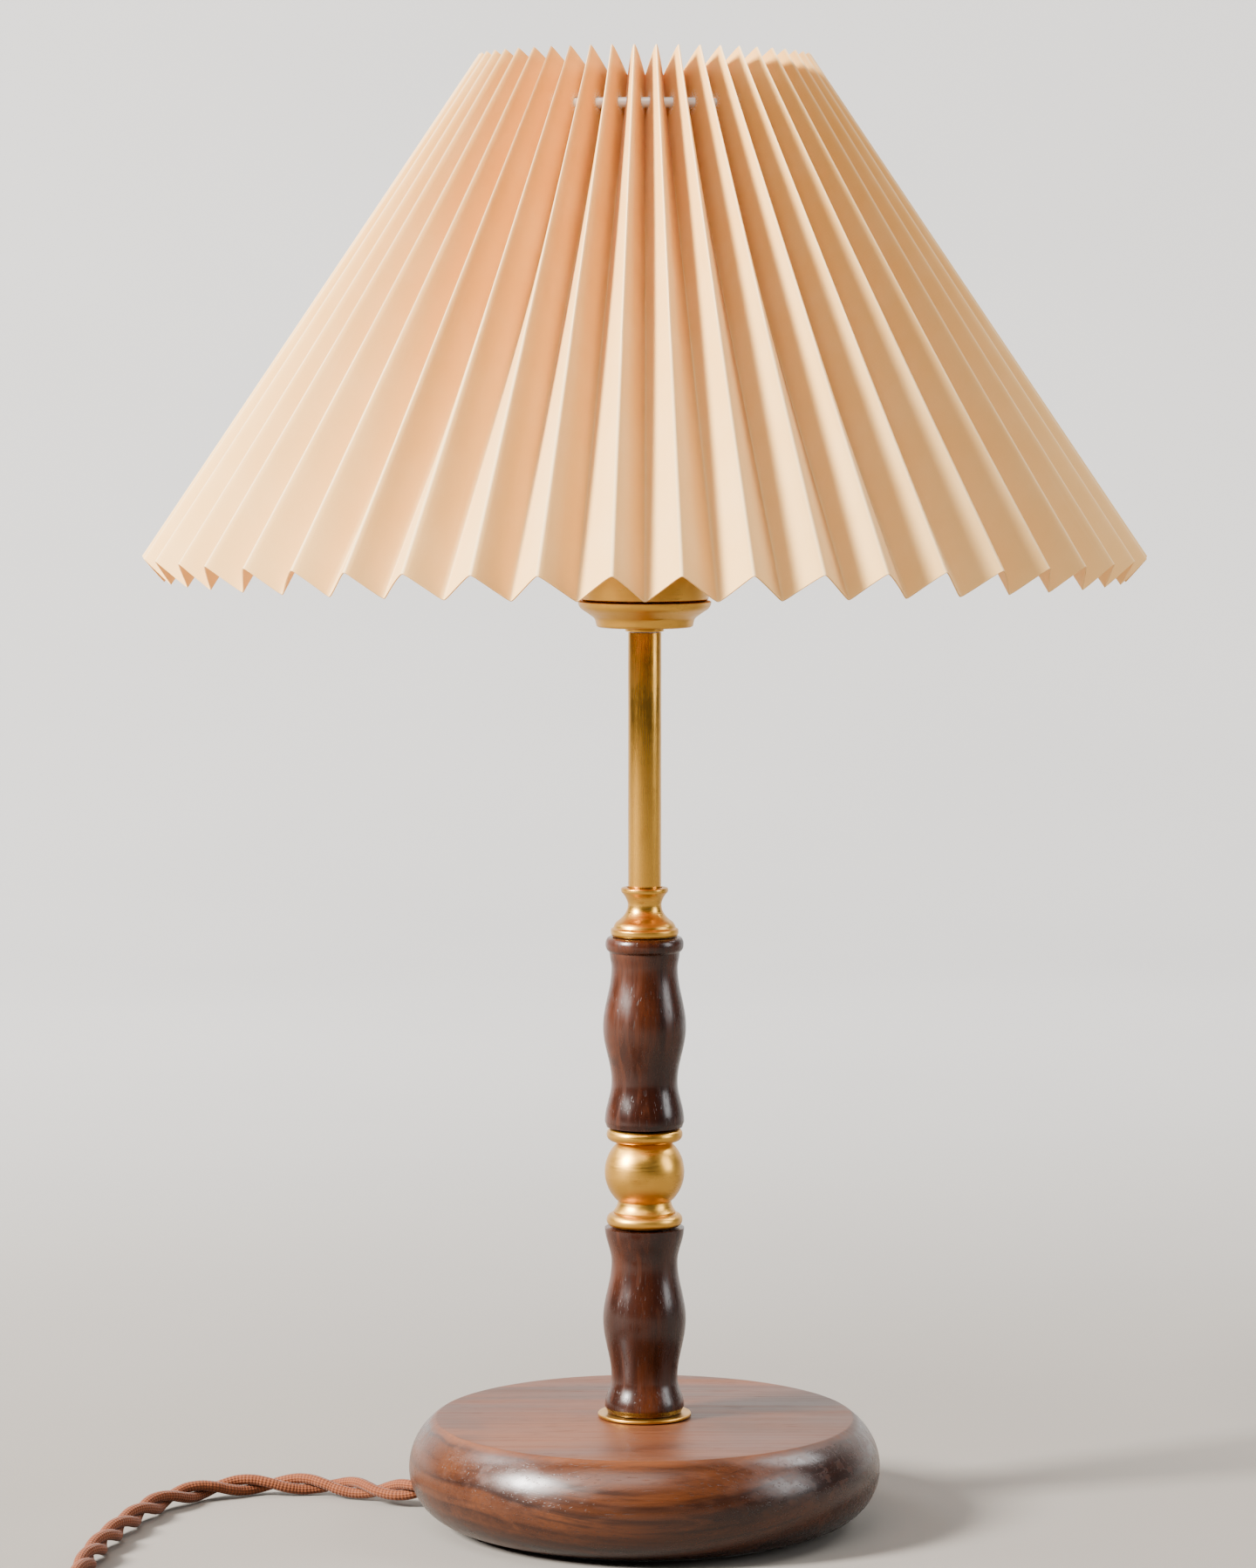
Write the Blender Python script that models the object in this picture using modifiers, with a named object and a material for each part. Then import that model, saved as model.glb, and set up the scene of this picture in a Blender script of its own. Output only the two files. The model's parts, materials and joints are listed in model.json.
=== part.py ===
"""Table lamp: turned wooden base and stem with brass fittings, pleated shade, twisted cord.

Metres, +Z up. The origin is on the table, on the stem's axis, and -Y is the front.
Pieces are stacked on a threaded pipe, so each height follows from the ones under it.
"""

import math

import bmesh
import bpy
from mathutils import Matrix, Vector

# ---------------------------------------------------------------- driving sizes
GAP = 0.0003  # between pieces that touch
SLIDE = 0.0005  # round a piece that turns or screws inside another
SMALL, MEDIUM, LARGE = 12, 20, 40  # sides of a turned piece
SCREW_HEAD_HEIGHT = 0.0016
SCREW_HEAD_RADIUS = 0.0028
SCREW_SHANK_RADIUS = 0.0014
SCREW_TIP = 0.0022  # length of a screw's point
SCREW_HOLE_RADIUS = SCREW_SHANK_RADIUS + GAP
SCREW_SINK_RADIUS = SCREW_HEAD_RADIUS + GAP
WOOD_SCREW_BITE = 0.0065  # how far a screw goes into the base's ceiling
PILOT_DEPTH = 0.0080

# base
FELT_THICKNESS = 0.0012
FELT_RADIUS = 0.0540
BASE_RADIUS = 0.0714
BASE_FLAT_RADIUS = 0.0632
BASE_HEIGHT = 0.0305
BASE_LOWER_ROUND = 0.0155
RECESS_RADIUS = 0.0460
RECESS_DEPTH = 0.0135
WEIGHT_WALL = 0.0020  # between the weight and the recess wall
WEIGHT_INNER_RADIUS = 0.0175
WEIGHT_THICKNESS = 0.0103
WEIGHT_MOUTH = 0.0290  # opening of the horseshoe, for the cord and its clamp
WEIGHT_SCREW_AT = 0.0305
WEIGHT_SCREW_HEAD_RADIUS = 0.0032
SEAT_WASHER_RADIUS = 0.0141
SEAT_WASHER_THICKNESS = 0.0010

# stem
PIPE_RADIUS = 0.0040
PIPE_BORE_RADIUS = 0.0030
PIPE_BELOW_NUT = 0.0010
PIPE_ABOVE_CUP = 0.0085
NUT_HEIGHT = 0.0030
NUT_ACROSS_FLATS = 0.0120
LOCK_WASHER_RADIUS = 0.0090
LOCK_WASHER_THICKNESS = 0.0008
LOWER_SPINDLE_HEIGHT = 0.0564
UPPER_SPINDLE_HEIGHT = 0.0575
SPINDLE_BELLY_RADIUS = 0.01255
SPINDLE_WAIST_RADIUS = 0.0100
SPINDLE_END_RADIUS = 0.0120
BALL_PIECE_HEIGHT = 0.0302
BALL_RADIUS = 0.01205
BALL_FLANGE_RADIUS = 0.0115
FERRULE_HEIGHT = 0.0147
FERRULE_FOOT_RADIUS = 0.0102
FERRULE_NECK_WALL = 0.0008  # round the pipe's hole
FERRULE_NECK_RADIUS = PIPE_RADIUS + GAP + FERRULE_NECK_WALL
FERRULE_SOCKET_DEPTH = 0.0022
GRUB_RADIUS = 0.0010
TUBE_PLAY = 0.0004  # round the pipe
TUBE_WALL = 0.0006
TUBE_RADIUS = PIPE_RADIUS + TUBE_PLAY + TUBE_WALL
FERRULE_RIM_WIDTH = 0.0021
FERRULE_RIM_RADIUS = TUBE_RADIUS + FERRULE_RIM_WIDTH
TUBE_LENGTH = 0.0786
COLLAR_WIDTH = 0.0008  # outside the tube
COLLAR_RADIUS = TUBE_RADIUS + COLLAR_WIDTH
COLLAR_THICKNESS = 0.0010

# lampholder
HOLDER_RADIUS = 0.0192
CUP_FLOOR_INSET = 0.0046  # inside the holder's wall
CUP_FLOOR_RADIUS = HOLDER_RADIUS - CUP_FLOOR_INSET
CUP_LIP = 0.0008  # outside it
CUP_RIM_RADIUS = HOLDER_RADIUS + CUP_LIP
CUP_HEIGHT = 0.0076
CUP_WALL = 0.0010
HOLDER_WALL = 0.0009
HOLDER_CAP_HEIGHT = 0.0262
HOLDER_SKIRT_HEIGHT = 0.0235
HOLDER_SKIRT_WALL = 0.0016
SKIRT_PROUD = 0.0002  # the threaded skirt over the plain cap
INSULATOR_FLOOR_Z = 0.0150  # above the cap's underside
INSULATOR_FLOOR = 0.0085
INSULATOR_HEIGHT = 0.0310
THREAD_SHELL_RADIUS = 0.0137  # inside
THREAD_SHELL_WALL = 0.0008
THREAD_SHELL_HEIGHT = 0.0232
TERMINAL_AT = 0.0095
TERMINAL_DEPTH = 0.0055
CONTACT_HEIGHT = 0.0016
CONTACT_RADIUS = 0.0030
CONTACT_STUD_RADIUS = 0.0012
CONTACT_TAIL = 0.0012  # below the insulator, for the wire
NUT_RING_WIDTH = 0.0043  # outside the holder
NUT_RING_RADIUS = HOLDER_RADIUS + NUT_RING_WIDTH
NUT_RING_HEIGHT = 0.0035
NUT_RING_ABOVE_SEAM = 0.0045

# bulb
BULB_RADIUS = 0.0225
BULB_LENGTH = 0.0780
BULB_NECK_RADIUS = 0.0117
BULB_GLASS_WALL = 0.0009
BULB_CAP_RADIUS = 0.0131
BULB_CAP_HEIGHT = 0.0215
BULB_CAP_WALL = 0.0006
BULB_THREAD_DEPTH = 0.0007
BULB_BUTTON = 0.0010
BULB_FOOT = 0.0048

# shade
PLEATS = 48
PANELS = 4  # strips of pleated sheet, which meet halfway across a pleat's face
PANEL_ROWS = 3  # from foot to head, because a pleat's face twists
SHADE_FOOT_RADIUS = 0.1500  # at the outer folds
SHADE_HEAD_RADIUS = 0.0495
SHADE_RISE = 0.1485  # of an outer fold
FOOT_FOLD_DEPTH = 0.0070  # an inner fold ends this much nearer the axis
FOOT_FOLD_DROP = 0.0080  # and this much lower
HEAD_FOLD_DEPTH = 0.0112
HEAD_FOLD_DROP = 0.0095
SHADE_WALL = 0.0006
SHADE_RING_WIRE = 0.0015
RING_BELOW_HEAD = 0.0170
RING_ACROSS = 0.32  # where the ring runs, from the inner folds to the outer ones
RING_HOLE_PLAY = 0.0005
FITTER_WIDTH = 0.0058  # outside the holder
FITTER_RADIUS = HOLDER_RADIUS + FITTER_WIDTH
FITTER_THICKNESS = 0.0012
ARM_WIRE = 0.00125
ARM_RISE = 0.1173
ARM_PLEATS = (8, 24, 40)

# cord
CORD_RADIUS = 0.0033
CORES_RADIUS = 0.0024  # the two cores without their braid
CORD_AZIMUTH = math.radians(168)
CORD_HOLE_Z = 0.0068
CLAMP_LENGTH, CLAMP_WIDTH = 0.0080, 0.0240
CLAMP_AT = 0.0300
CLAMP_FLOOR = 0.0012
CLAMP_SCREW_AT = 0.0086
SWITCH_LENGTH, SWITCH_WIDTH, SWITCH_HEIGHT = 0.0620, 0.0260, 0.0200
SWITCH_CENTRE = Vector((-0.1500, -0.2035, 0.0))
SWITCH_CORD_Z = 0.0088
SWITCH_WALL = 0.0016
SWITCH_SINK_Z = 0.0031  # where a screw's head sits
SWITCH_SCREW_BITE = 0.0062  # into the cover
ROCKER_LENGTH, ROCKER_WIDTH = 0.0192, 0.0100
ROCKER_TILT = math.radians(8)
ROCKER_PIN_RADIUS = 0.0010
COIL_CENTRE = Vector((-0.0850, -0.2214, 0.0))
COIL_INNER_RADIUS = 0.0296
COIL_OUTER_RADIUS = 0.0494
COIL_FLOOR_Z = 0.0015
COIL_HEIGHT = 0.0123
TIE_WIDTH = 0.0070
TIE_THICKNESS = 0.0009
TIE_PLAY = 0.0006
PLUG_START = Vector((-0.0150, -0.2510, 0.0071))
PLUG_SLEEVE_LENGTH = 0.0220
PLUG_BODY_LENGTH, PLUG_WIDTH, PLUG_HEIGHT = 0.0335, 0.0353, 0.0136
PLUG_PIN_RADIUS, PLUG_PIN_LENGTH, PLUG_PIN_SPACING = 0.0020, 0.0190, 0.0186

# The free cord's route: out of the base, along the table and up into the switch.
SWITCH_ROUTE = (
    (-0.0653, 0.0139, 0.0068), (-0.0721, 0.0156, 0.0059), (-0.0801, 0.0203, 0.0046),
    (-0.0883, 0.0268, 0.0038), (-0.0963, 0.0313, 0.0036), (-0.1043, 0.0333, 0.0036),
    (-0.1122, 0.0338, 0.0036), (-0.1201, 0.0330, 0.0036), (-0.1279, 0.0306, 0.0036),
    (-0.1354, 0.0258, 0.0036), (-0.1426, 0.0180, 0.0036), (-0.1493, 0.0055, 0.0036),
    (-0.1551, -0.0152, 0.0036), (-0.1600, -0.0417, 0.0036), (-0.1622, -0.0641, 0.0036),
    (-0.1625, -0.0850, 0.0036), (-0.1610, -0.1080, 0.0036), (-0.1575, -0.1300, 0.0037),
    (-0.1535, -0.1480, 0.0044), (-0.1508, -0.1600, 0.0068), (-0.1500, -0.1680, 0.0086),
    (-0.1500, -0.1722, 0.0088),
)
# From the switch round to the outermost turn of the coil.
COIL_ROUTE = (
    (-0.1500, -0.2348, 0.0088), (-0.1500, -0.2395, 0.0083), (-0.1495, -0.2450, 0.0068),
    (-0.1470, -0.2520, 0.0052), (-0.1425, -0.2590, 0.0049), (-0.1355, -0.2650, 0.0048),
    (-0.1270, -0.2675, 0.0048), (-0.1195, -0.2675, 0.0048), (-0.1120, -0.2675, 0.0048),
)
# From the coil's upper turns down to the table and into the plug.
PLUG_ROUTE = (
    (-0.0493, -0.2609, 0.0075), (-0.0440, -0.2588, 0.0060), (-0.0385, -0.2567, 0.0048),
    (-0.0320, -0.2545, 0.0043), (-0.0265, -0.2529, 0.0050), (-0.0210, -0.2517, 0.0063),
    (-0.0156, -0.2511, 0.0071),
)

# ---------------------------------------------------------------- heights that follow
BASE_Z = FELT_THICKNESS + GAP
BASE_TOP_Z = BASE_Z + BASE_HEIGHT
BASE_WIDEST = BASE_LOWER_ROUND  # above the base's underside
CEILING_Z = BASE_Z + RECESS_DEPTH
LOCK_WASHER_Z = CEILING_Z - GAP - LOCK_WASHER_THICKNESS
NUT_Z = LOCK_WASHER_Z - GAP - NUT_HEIGHT
PIPE_Z = NUT_Z - PIPE_BELOW_NUT
WEIGHT_Z = CEILING_Z - GAP - WEIGHT_THICKNESS
SEAT_WASHER_Z = BASE_TOP_Z + GAP
LOWER_SPINDLE_Z = SEAT_WASHER_Z + SEAT_WASHER_THICKNESS + GAP
BALL_PIECE_Z = LOWER_SPINDLE_Z + LOWER_SPINDLE_HEIGHT + GAP
UPPER_SPINDLE_Z = BALL_PIECE_Z + BALL_PIECE_HEIGHT + GAP
FERRULE_Z = UPPER_SPINDLE_Z + UPPER_SPINDLE_HEIGHT + GAP
TUBE_Z = FERRULE_Z + FERRULE_HEIGHT - FERRULE_SOCKET_DEPTH + GAP
COLLAR_Z = TUBE_Z + TUBE_LENGTH + GAP
CUP_Z = COLLAR_Z + COLLAR_THICKNESS + GAP
HOLDER_Z = CUP_Z + CUP_WALL + GAP
PIPE_TOP_Z = HOLDER_Z + PIPE_ABOVE_CUP
SEAM_Z = HOLDER_Z + HOLDER_CAP_HEIGHT + GAP  # between the holder's cap and its skirt
CONTACT_Z = HOLDER_Z + INSULATOR_FLOOR_Z + INSULATOR_FLOOR + GAP
BULB_Z = CONTACT_Z + CONTACT_HEIGHT + GAP
LOWER_NUT_RING_Z = SEAM_Z + NUT_RING_ABOVE_SEAM
FITTER_Z = LOWER_NUT_RING_Z + NUT_RING_HEIGHT + GAP
UPPER_NUT_RING_Z = FITTER_Z + FITTER_THICKNESS + GAP
SHADE_RING_Z = FITTER_Z + ARM_RISE
SHADE_HEAD_Z = SHADE_RING_Z + RING_BELOW_HEAD
PIPE_HOLE_RADIUS = PIPE_RADIUS + GAP
TURN = 2 * math.pi


# ---------------------------------------------------------------- scene and materials
def clear_scene():
    for obj in list(bpy.data.objects):
        bpy.data.objects.remove(obj, do_unlink=True)


def new_collection(name):
    collection = bpy.data.collections.new(name)
    bpy.context.scene.collection.children.link(collection)
    return collection


def new_material(name, color, roughness, metallic=0.0):
    material = bpy.data.materials.new(name)
    material.use_nodes = True
    shader = material.node_tree.nodes["Principled BSDF"]
    shader.inputs["Base Color"].default_value = (*color, 1.0)
    shader.inputs["Roughness"].default_value = roughness
    shader.inputs["Metallic"].default_value = metallic
    material.diffuse_color = (*color, 1.0)
    return material


clear_scene()
PARTS = new_collection("table_lamp")
CUTTERS = new_collection("cutters")

WALNUT = new_material("walnut", (0.16, 0.055, 0.028), 0.38)
BRASS = new_material("brass", (0.80, 0.56, 0.26), 0.22, 1.0)
STEEL = new_material("zinc_steel", (0.55, 0.55, 0.56), 0.35, 1.0)
IRON = new_material("cast_weight", (0.09, 0.09, 0.10), 0.60, 0.8)
FELT = new_material("felt", (0.03, 0.035, 0.03), 0.95)
NYLON = new_material("nylon", (0.80, 0.79, 0.74), 0.50)
PORCELAIN = new_material("porcelain", (0.90, 0.89, 0.85), 0.20)
PAPER = new_material("shade_paper", (0.90, 0.64, 0.42), 0.80)
WHITE_WIRE = new_material("white_wire", (0.90, 0.90, 0.88), 0.35)
GLASS = new_material("opal_glass", (0.95, 0.94, 0.90), 0.15)
CAP_METAL = new_material("nickel", (0.72, 0.70, 0.66), 0.25, 1.0)
BLACK_GLASS = new_material("black_glass", (0.02, 0.02, 0.02), 0.15)
BRAID = new_material("cord_braid", (0.25, 0.10, 0.045), 0.85)
CORE = new_material("core_sleeve", (0.10, 0.13, 0.30), 0.45)
BAKELITE = new_material("brown_plastic", (0.07, 0.03, 0.018), 0.30)


# ---------------------------------------------------------------- modelling helpers
def link(name, data, material, at=(0, 0, 0), turn=0.0, parent=None):
    """A part's object, at its place and turned about Z."""
    obj = bpy.data.objects.new(name, data)
    obj.data.materials.append(material)
    obj.location = at
    obj.rotation_euler.z = turn
    obj.parent = parent
    PARTS.objects.link(obj)
    return obj


def new_empty(name, at=(0, 0, 0), turn=0.0):
    obj = bpy.data.objects.new(name, None)
    obj.location = at
    obj.rotation_euler.z = turn
    obj.empty_display_size = 0.02
    PARTS.objects.link(obj)
    return obj


def turned(name, profile, material, at_z=0.0, sides=MEDIUM, closed=True):
    """A turned piece: the profile's (radius, height) points run down the outside and up the inside."""
    mesh = bpy.data.meshes.new(name)
    edges = [(i, i + 1) for i in range(len(profile) - 1)]
    if closed:
        edges.append((len(profile) - 1, 0))
    mesh.from_pydata([(r, 0.0, z) for r, z in profile], edges, [])
    obj = link(name, mesh, material, (0, 0, at_z))
    screw = obj.modifiers.new("turn", "SCREW")
    screw.steps = sides
    screw.render_steps = sides
    screw.use_merge_vertices = True
    screw.merge_threshold = 0.00001
    screw.use_smooth_shade = True
    return obj


def ring(name, inner, outer, height, material, at_z, sides=MEDIUM):
    profile = [(inner, height), (outer, height), (outer, 0.0), (inner, 0.0)]
    return turned(name, profile, material, at_z, sides)


def rounded_ring(name, inner, outer, height, round_by, material, at_z, sides=MEDIUM):
    """A ring whose outer edges are rounded."""
    mid = height / 2
    profile = [(inner, height), (outer - round_by, height)]
    profile += [
        (outer - round_by * (1 - math.cos(a)), mid + (mid * math.sin(a)))
        for a in (math.radians(d) for d in (35, -35))
    ]
    profile += [(outer - round_by, 0.0), (inner, 0.0)]
    return turned(name, profile, material, at_z, sides)


def arc(centre_r, centre_z, radius, start, end, steps):
    """Profile points on an arc, with angles in degrees from the outward direction."""
    angles = [math.radians(start + (end - start) * i / steps) for i in range(steps + 1)]
    return [(centre_r + radius * math.cos(a), centre_z + radius * math.sin(a)) for a in angles]


def swell(stations, steps):
    """A turned outline that eases from each (height, radius) station to the next."""
    outline = []
    for (z0, r0), (z1, r1) in zip(stations, stations[1:]):
        for i in range(steps):
            ease = (1 - math.cos(math.pi * i / steps)) / 2
            outline.append((r0 + (r1 - r0) * ease, z0 + (z1 - z0) * i / steps))
    outline.append((stations[-1][1], stations[-1][0]))
    return outline


def primitive_mesh(name, build):
    mesh = bpy.data.meshes.new(name)
    bm = bmesh.new()
    build(bm)
    bmesh.ops.recalc_face_normals(bm, faces=bm.faces)
    bm.to_mesh(mesh)
    bm.free()
    return mesh


def box_mesh(name, low, high):
    low, high = Vector(low), Vector(high)

    def build(bm):
        bmesh.ops.create_cube(bm, size=1.0)
        bmesh.ops.scale(bm, vec=high - low, verts=bm.verts)
        bmesh.ops.translate(bm, vec=(low + high) / 2, verts=bm.verts)

    return primitive_mesh(name, build)


def rod_mesh(name, start, end, radius, sides=SMALL, end_radius=None):
    """A cylinder, or a cone, between two points."""
    start, end = Vector(start), Vector(end)
    along = end - start

    def build(bm):
        turn = along.to_track_quat("Z", "Y").to_matrix().to_4x4()
        place = Matrix.Translation((start + end) / 2) @ turn
        bmesh.ops.create_cone(
            bm, cap_ends=True, segments=sides, radius1=radius,
            radius2=radius if end_radius is None else end_radius, depth=along.length, matrix=place,
        )

    return primitive_mesh(name, build)


def add_bevel(obj, width, segments=2, degrees=40):
    bevel = obj.modifiers.new("soft_edges", "BEVEL")
    bevel.width = width
    bevel.segments = segments
    bevel.limit_method = "ANGLE"
    bevel.angle_limit = math.radians(degrees)


def combine(obj, mesh, operation="DIFFERENCE", at=(0, 0, 0), turn=0.0):
    """Cuts or joins a helper shape, which shares the object's parent."""
    helper = bpy.data.objects.new(f"{obj.name}_{operation.lower()}", mesh)
    helper.location = at
    helper.rotation_euler.z = turn
    helper.parent = obj.parent
    helper.hide_render = True
    helper.display_type = "WIRE"
    CUTTERS.objects.link(helper)
    boolean = obj.modifiers.new(helper.name, "BOOLEAN")
    boolean.operation = operation
    boolean.solver = "EXACT"
    boolean.object = helper


def smooth_route(points, spacing):
    """Evenly spaced points on a smooth curve through the route's own points."""
    knots = [Vector(p) for p in points]
    ends = [2 * knots[0] - knots[1], *knots, 2 * knots[-1] - knots[-2]]
    fine = []
    for before, start, end, after in zip(ends, ends[1:], ends[2:], ends[3:]):
        for i in range(12):
            t = i / 12
            fine.append(0.5 * (
                2 * start + (end - before) * t
                + (2 * before - 5 * start + 4 * end - after) * t * t
                + (3 * start - before - 3 * end + after) * t ** 3
            ))
    fine.append(knots[-1])
    length = sum((b - a).length for a, b in zip(fine, fine[1:]))
    count = max(2, round(length / spacing))
    even, walked, wanted = [fine[0]], 0.0, length / count
    for a, b in zip(fine, fine[1:]):
        step = (b - a).length
        while walked + step >= wanted and len(even) < count:
            even.append(a.lerp(b, (wanted - walked) / step))
            wanted += length / count
        walked += step
    even.append(fine[-1])
    return even


def tube(name, points, radius, material, resolution=2):
    """A round wire or cord along the points."""
    curve = bpy.data.curves.new(name, "CURVE")
    curve.dimensions = "3D"
    curve.bevel_depth = radius
    curve.bevel_resolution = resolution
    curve.use_fill_caps = True
    spline = curve.splines.new("POLY")
    spline.points.add(len(points) - 1)
    for point, place in zip(spline.points, points):
        point.co = (*place, 1.0)
    return link(name, curve, material)


def extruded(name, outline, depth, material, at=(0, 0, 0), turn=0.0, parent=None):
    """A flat outline in the YZ plane, given its width along X."""
    mesh = bpy.data.meshes.new(name)
    bm = bmesh.new()
    face = bm.faces.new([bm.verts.new((-depth / 2, y, z)) for y, z in outline])
    side = bmesh.ops.extrude_face_region(bm, geom=[face])
    moved = [v for v in side["geom"] if isinstance(v, bmesh.types.BMVert)]
    bmesh.ops.translate(bm, vec=(depth, 0, 0), verts=moved)
    bmesh.ops.recalc_face_normals(bm, faces=bm.faces)
    bm.to_mesh(mesh)
    bm.free()
    return link(name, mesh, material, at, turn, parent)


def around(angle, radius, z):
    """A point at an angle from the front, which grows towards +X."""
    return Vector((radius * math.sin(angle), -radius * math.cos(angle), z))


def along_cord(distance, z):
    """A point straight out from the axis on the side where the cord leaves the base."""
    return Vector((distance * math.cos(CORD_AZIMUTH), distance * math.sin(CORD_AZIMUTH), z))


def pan_screw(name, head_z, length, material, at, parent=None, head=SCREW_HEAD_RADIUS):
    """A pan-head screw that points up, with its head's underside at the bottom."""
    shank = SCREW_SHANK_RADIUS
    profile = [
        (0.0, length), (shank, length - SCREW_TIP), (shank, SCREW_HEAD_HEIGHT),
        (head, SCREW_HEAD_HEIGHT), (head * 0.8, 0.0), (0.0, 0.0),
    ]
    obj = turned(name, profile, material, 0.0, SMALL, closed=False)
    obj.location = (at[0], at[1], head_z)
    obj.parent = parent
    return obj


# ---------------------------------------------------------------- base
def base_outline():
    """The base's outer side, from the flat's edge down to the underside."""
    rise = BASE_HEIGHT - BASE_WIDEST
    inset = BASE_RADIUS - BASE_FLAT_RADIUS
    upper_round = (inset ** 2 + rise ** 2) / (2 * inset)
    centre = BASE_RADIUS - upper_round
    start = math.degrees(math.atan2(rise, BASE_FLAT_RADIUS - centre))
    upper = arc(centre, BASE_WIDEST, upper_round, start, 0, 5)
    lower = arc(BASE_RADIUS - BASE_LOWER_ROUND, BASE_LOWER_ROUND, BASE_LOWER_ROUND, 0, -90, 6)
    return upper + lower[1:]


def make_base():
    profile = [(PIPE_HOLE_RADIUS, BASE_HEIGHT), *base_outline()]
    profile += [(RECESS_RADIUS, 0.0), (RECESS_RADIUS, RECESS_DEPTH), (PIPE_HOLE_RADIUS, RECESS_DEPTH)]
    base = turned("base_body", profile, WALNUT, BASE_Z, LARGE)
    hole = rod_mesh(
        "cord_hole", along_cord(RECESS_RADIUS - 0.006, CORD_HOLE_Z),
        along_cord(BASE_RADIUS + 0.010, CORD_HOLE_Z), CORD_RADIUS + SLIDE,
    )
    combine(base, hole)
    return base


def drill_base(base, x, y):
    """A blind hole in the recess's ceiling for a wood screw."""
    bottom = Vector((x, y, CEILING_Z - 0.001))
    top = bottom + Vector((0, 0, PILOT_DEPTH))
    combine(base, rod_mesh("pilot_hole", bottom, top, SCREW_HOLE_RADIUS))


def make_weight(base, entry):
    outer = RECESS_RADIUS - WEIGHT_WALL
    weight = ring("base_weight", WEIGHT_INNER_RADIUS, outer, WEIGHT_THICKNESS, IRON, WEIGHT_Z)
    weight.parent = entry
    half = WEIGHT_MOUTH / 2
    low = (0, -half, WEIGHT_Z - 0.01)
    high = (outer + 0.01, half, CEILING_Z + 0.01)
    combine(weight, box_mesh("weight_mouth", low, high))
    head_z = WEIGHT_Z - GAP - SCREW_HEAD_HEIGHT
    for side, sign in (("left", -1), ("right", 1)):
        x, y = 0.0, sign * WEIGHT_SCREW_AT
        below = Vector((x, y, WEIGHT_Z - 0.01))
        above = Vector((x, y, CEILING_Z + 0.01))
        combine(weight, rod_mesh("weight_screw_hole", below, above, SCREW_HOLE_RADIUS))
        length = WEIGHT_THICKNESS + WOOD_SCREW_BITE + 0.001
        head = WEIGHT_SCREW_HEAD_RADIUS
        pan_screw(f"weight_screw_{side}", head_z, length, STEEL, (x, y), entry, head)
        place = Matrix.Rotation(CORD_AZIMUTH, 3, "Z") @ Vector((x, y, 0))
        drill_base(base, place.x, place.y)


def make_clamp(base, entry):
    """The block under the recess's ceiling that grips the cord, with its two screws."""
    low_z = CORD_HOLE_Z - CORD_RADIUS - GAP - CLAMP_FLOOR
    low = Vector((CLAMP_AT - CLAMP_LENGTH / 2, -CLAMP_WIDTH / 2, low_z))
    high = Vector((CLAMP_AT + CLAMP_LENGTH / 2, CLAMP_WIDTH / 2, CEILING_Z - GAP))
    clamp = link("cord_clamp", box_mesh("cord_clamp", low, high), NYLON, parent=entry)
    bore_start = (low.x - 0.01, 0, CORD_HOLE_Z)
    bore_end = (high.x + 0.01, 0, CORD_HOLE_Z)
    combine(clamp, rod_mesh("clamp_bore", bore_start, bore_end, CORD_RADIUS + GAP))
    screw_floor = low.z + 0.0026  # the heads sit in counterbores
    for side, sign in (("left", -1), ("right", 1)):
        y = sign * CLAMP_SCREW_AT
        below = (CLAMP_AT, y, low.z - 0.01)
        above = (CLAMP_AT, y, high.z + 0.01)
        combine(clamp, rod_mesh("clamp_screw_hole", below, above, SCREW_HOLE_RADIUS))
        combine(clamp, rod_mesh("clamp_sink", below, (CLAMP_AT, y, screw_floor), SCREW_SINK_RADIUS))
        length = CEILING_Z - screw_floor + WOOD_SCREW_BITE
        head_z = screw_floor - GAP - SCREW_HEAD_HEIGHT
        pan_screw(f"clamp_screw_{side}", head_z, length, STEEL, (CLAMP_AT, y), entry)
        place = Matrix.Rotation(CORD_AZIMUTH, 3, "Z") @ Vector((CLAMP_AT, y, 0))
        drill_base(base, place.x, place.y)


def make_base_fixings():
    felt = [(0.0, FELT_THICKNESS), (FELT_RADIUS, FELT_THICKNESS), (FELT_RADIUS, 0.0), (0.0, 0.0)]
    turned("base_felt", felt, FELT, 0.0, LARGE, closed=False)
    ring(
        "base_lock_washer", PIPE_HOLE_RADIUS, LOCK_WASHER_RADIUS,
        LOCK_WASHER_THICKNESS, STEEL, LOCK_WASHER_Z,
    )
    corner = NUT_ACROSS_FLATS / math.sqrt(3)
    hexagon = rod_mesh("base_nut", (0, 0, NUT_Z), (0, 0, NUT_Z + NUT_HEIGHT), corner, 6)
    nut = link("base_nut", hexagon, BRASS)
    bore_start, bore_end = (0, 0, NUT_Z - 0.01), (0, 0, NUT_Z + 0.02)
    combine(nut, rod_mesh("nut_bore", bore_start, bore_end, PIPE_HOLE_RADIUS, MEDIUM))
    rounded_ring(
        "seat_washer", PIPE_HOLE_RADIUS, SEAT_WASHER_RADIUS,
        SEAT_WASHER_THICKNESS, 0.0006, BRASS, SEAT_WASHER_Z,
    )


# ---------------------------------------------------------------- stem
def bored(outline):
    """A closed profile: an outline from top to bottom, with the pipe's hole inside."""
    return [(PIPE_HOLE_RADIUS, outline[0][1]), *outline, (PIPE_HOLE_RADIUS, outline[-1][1])]


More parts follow.
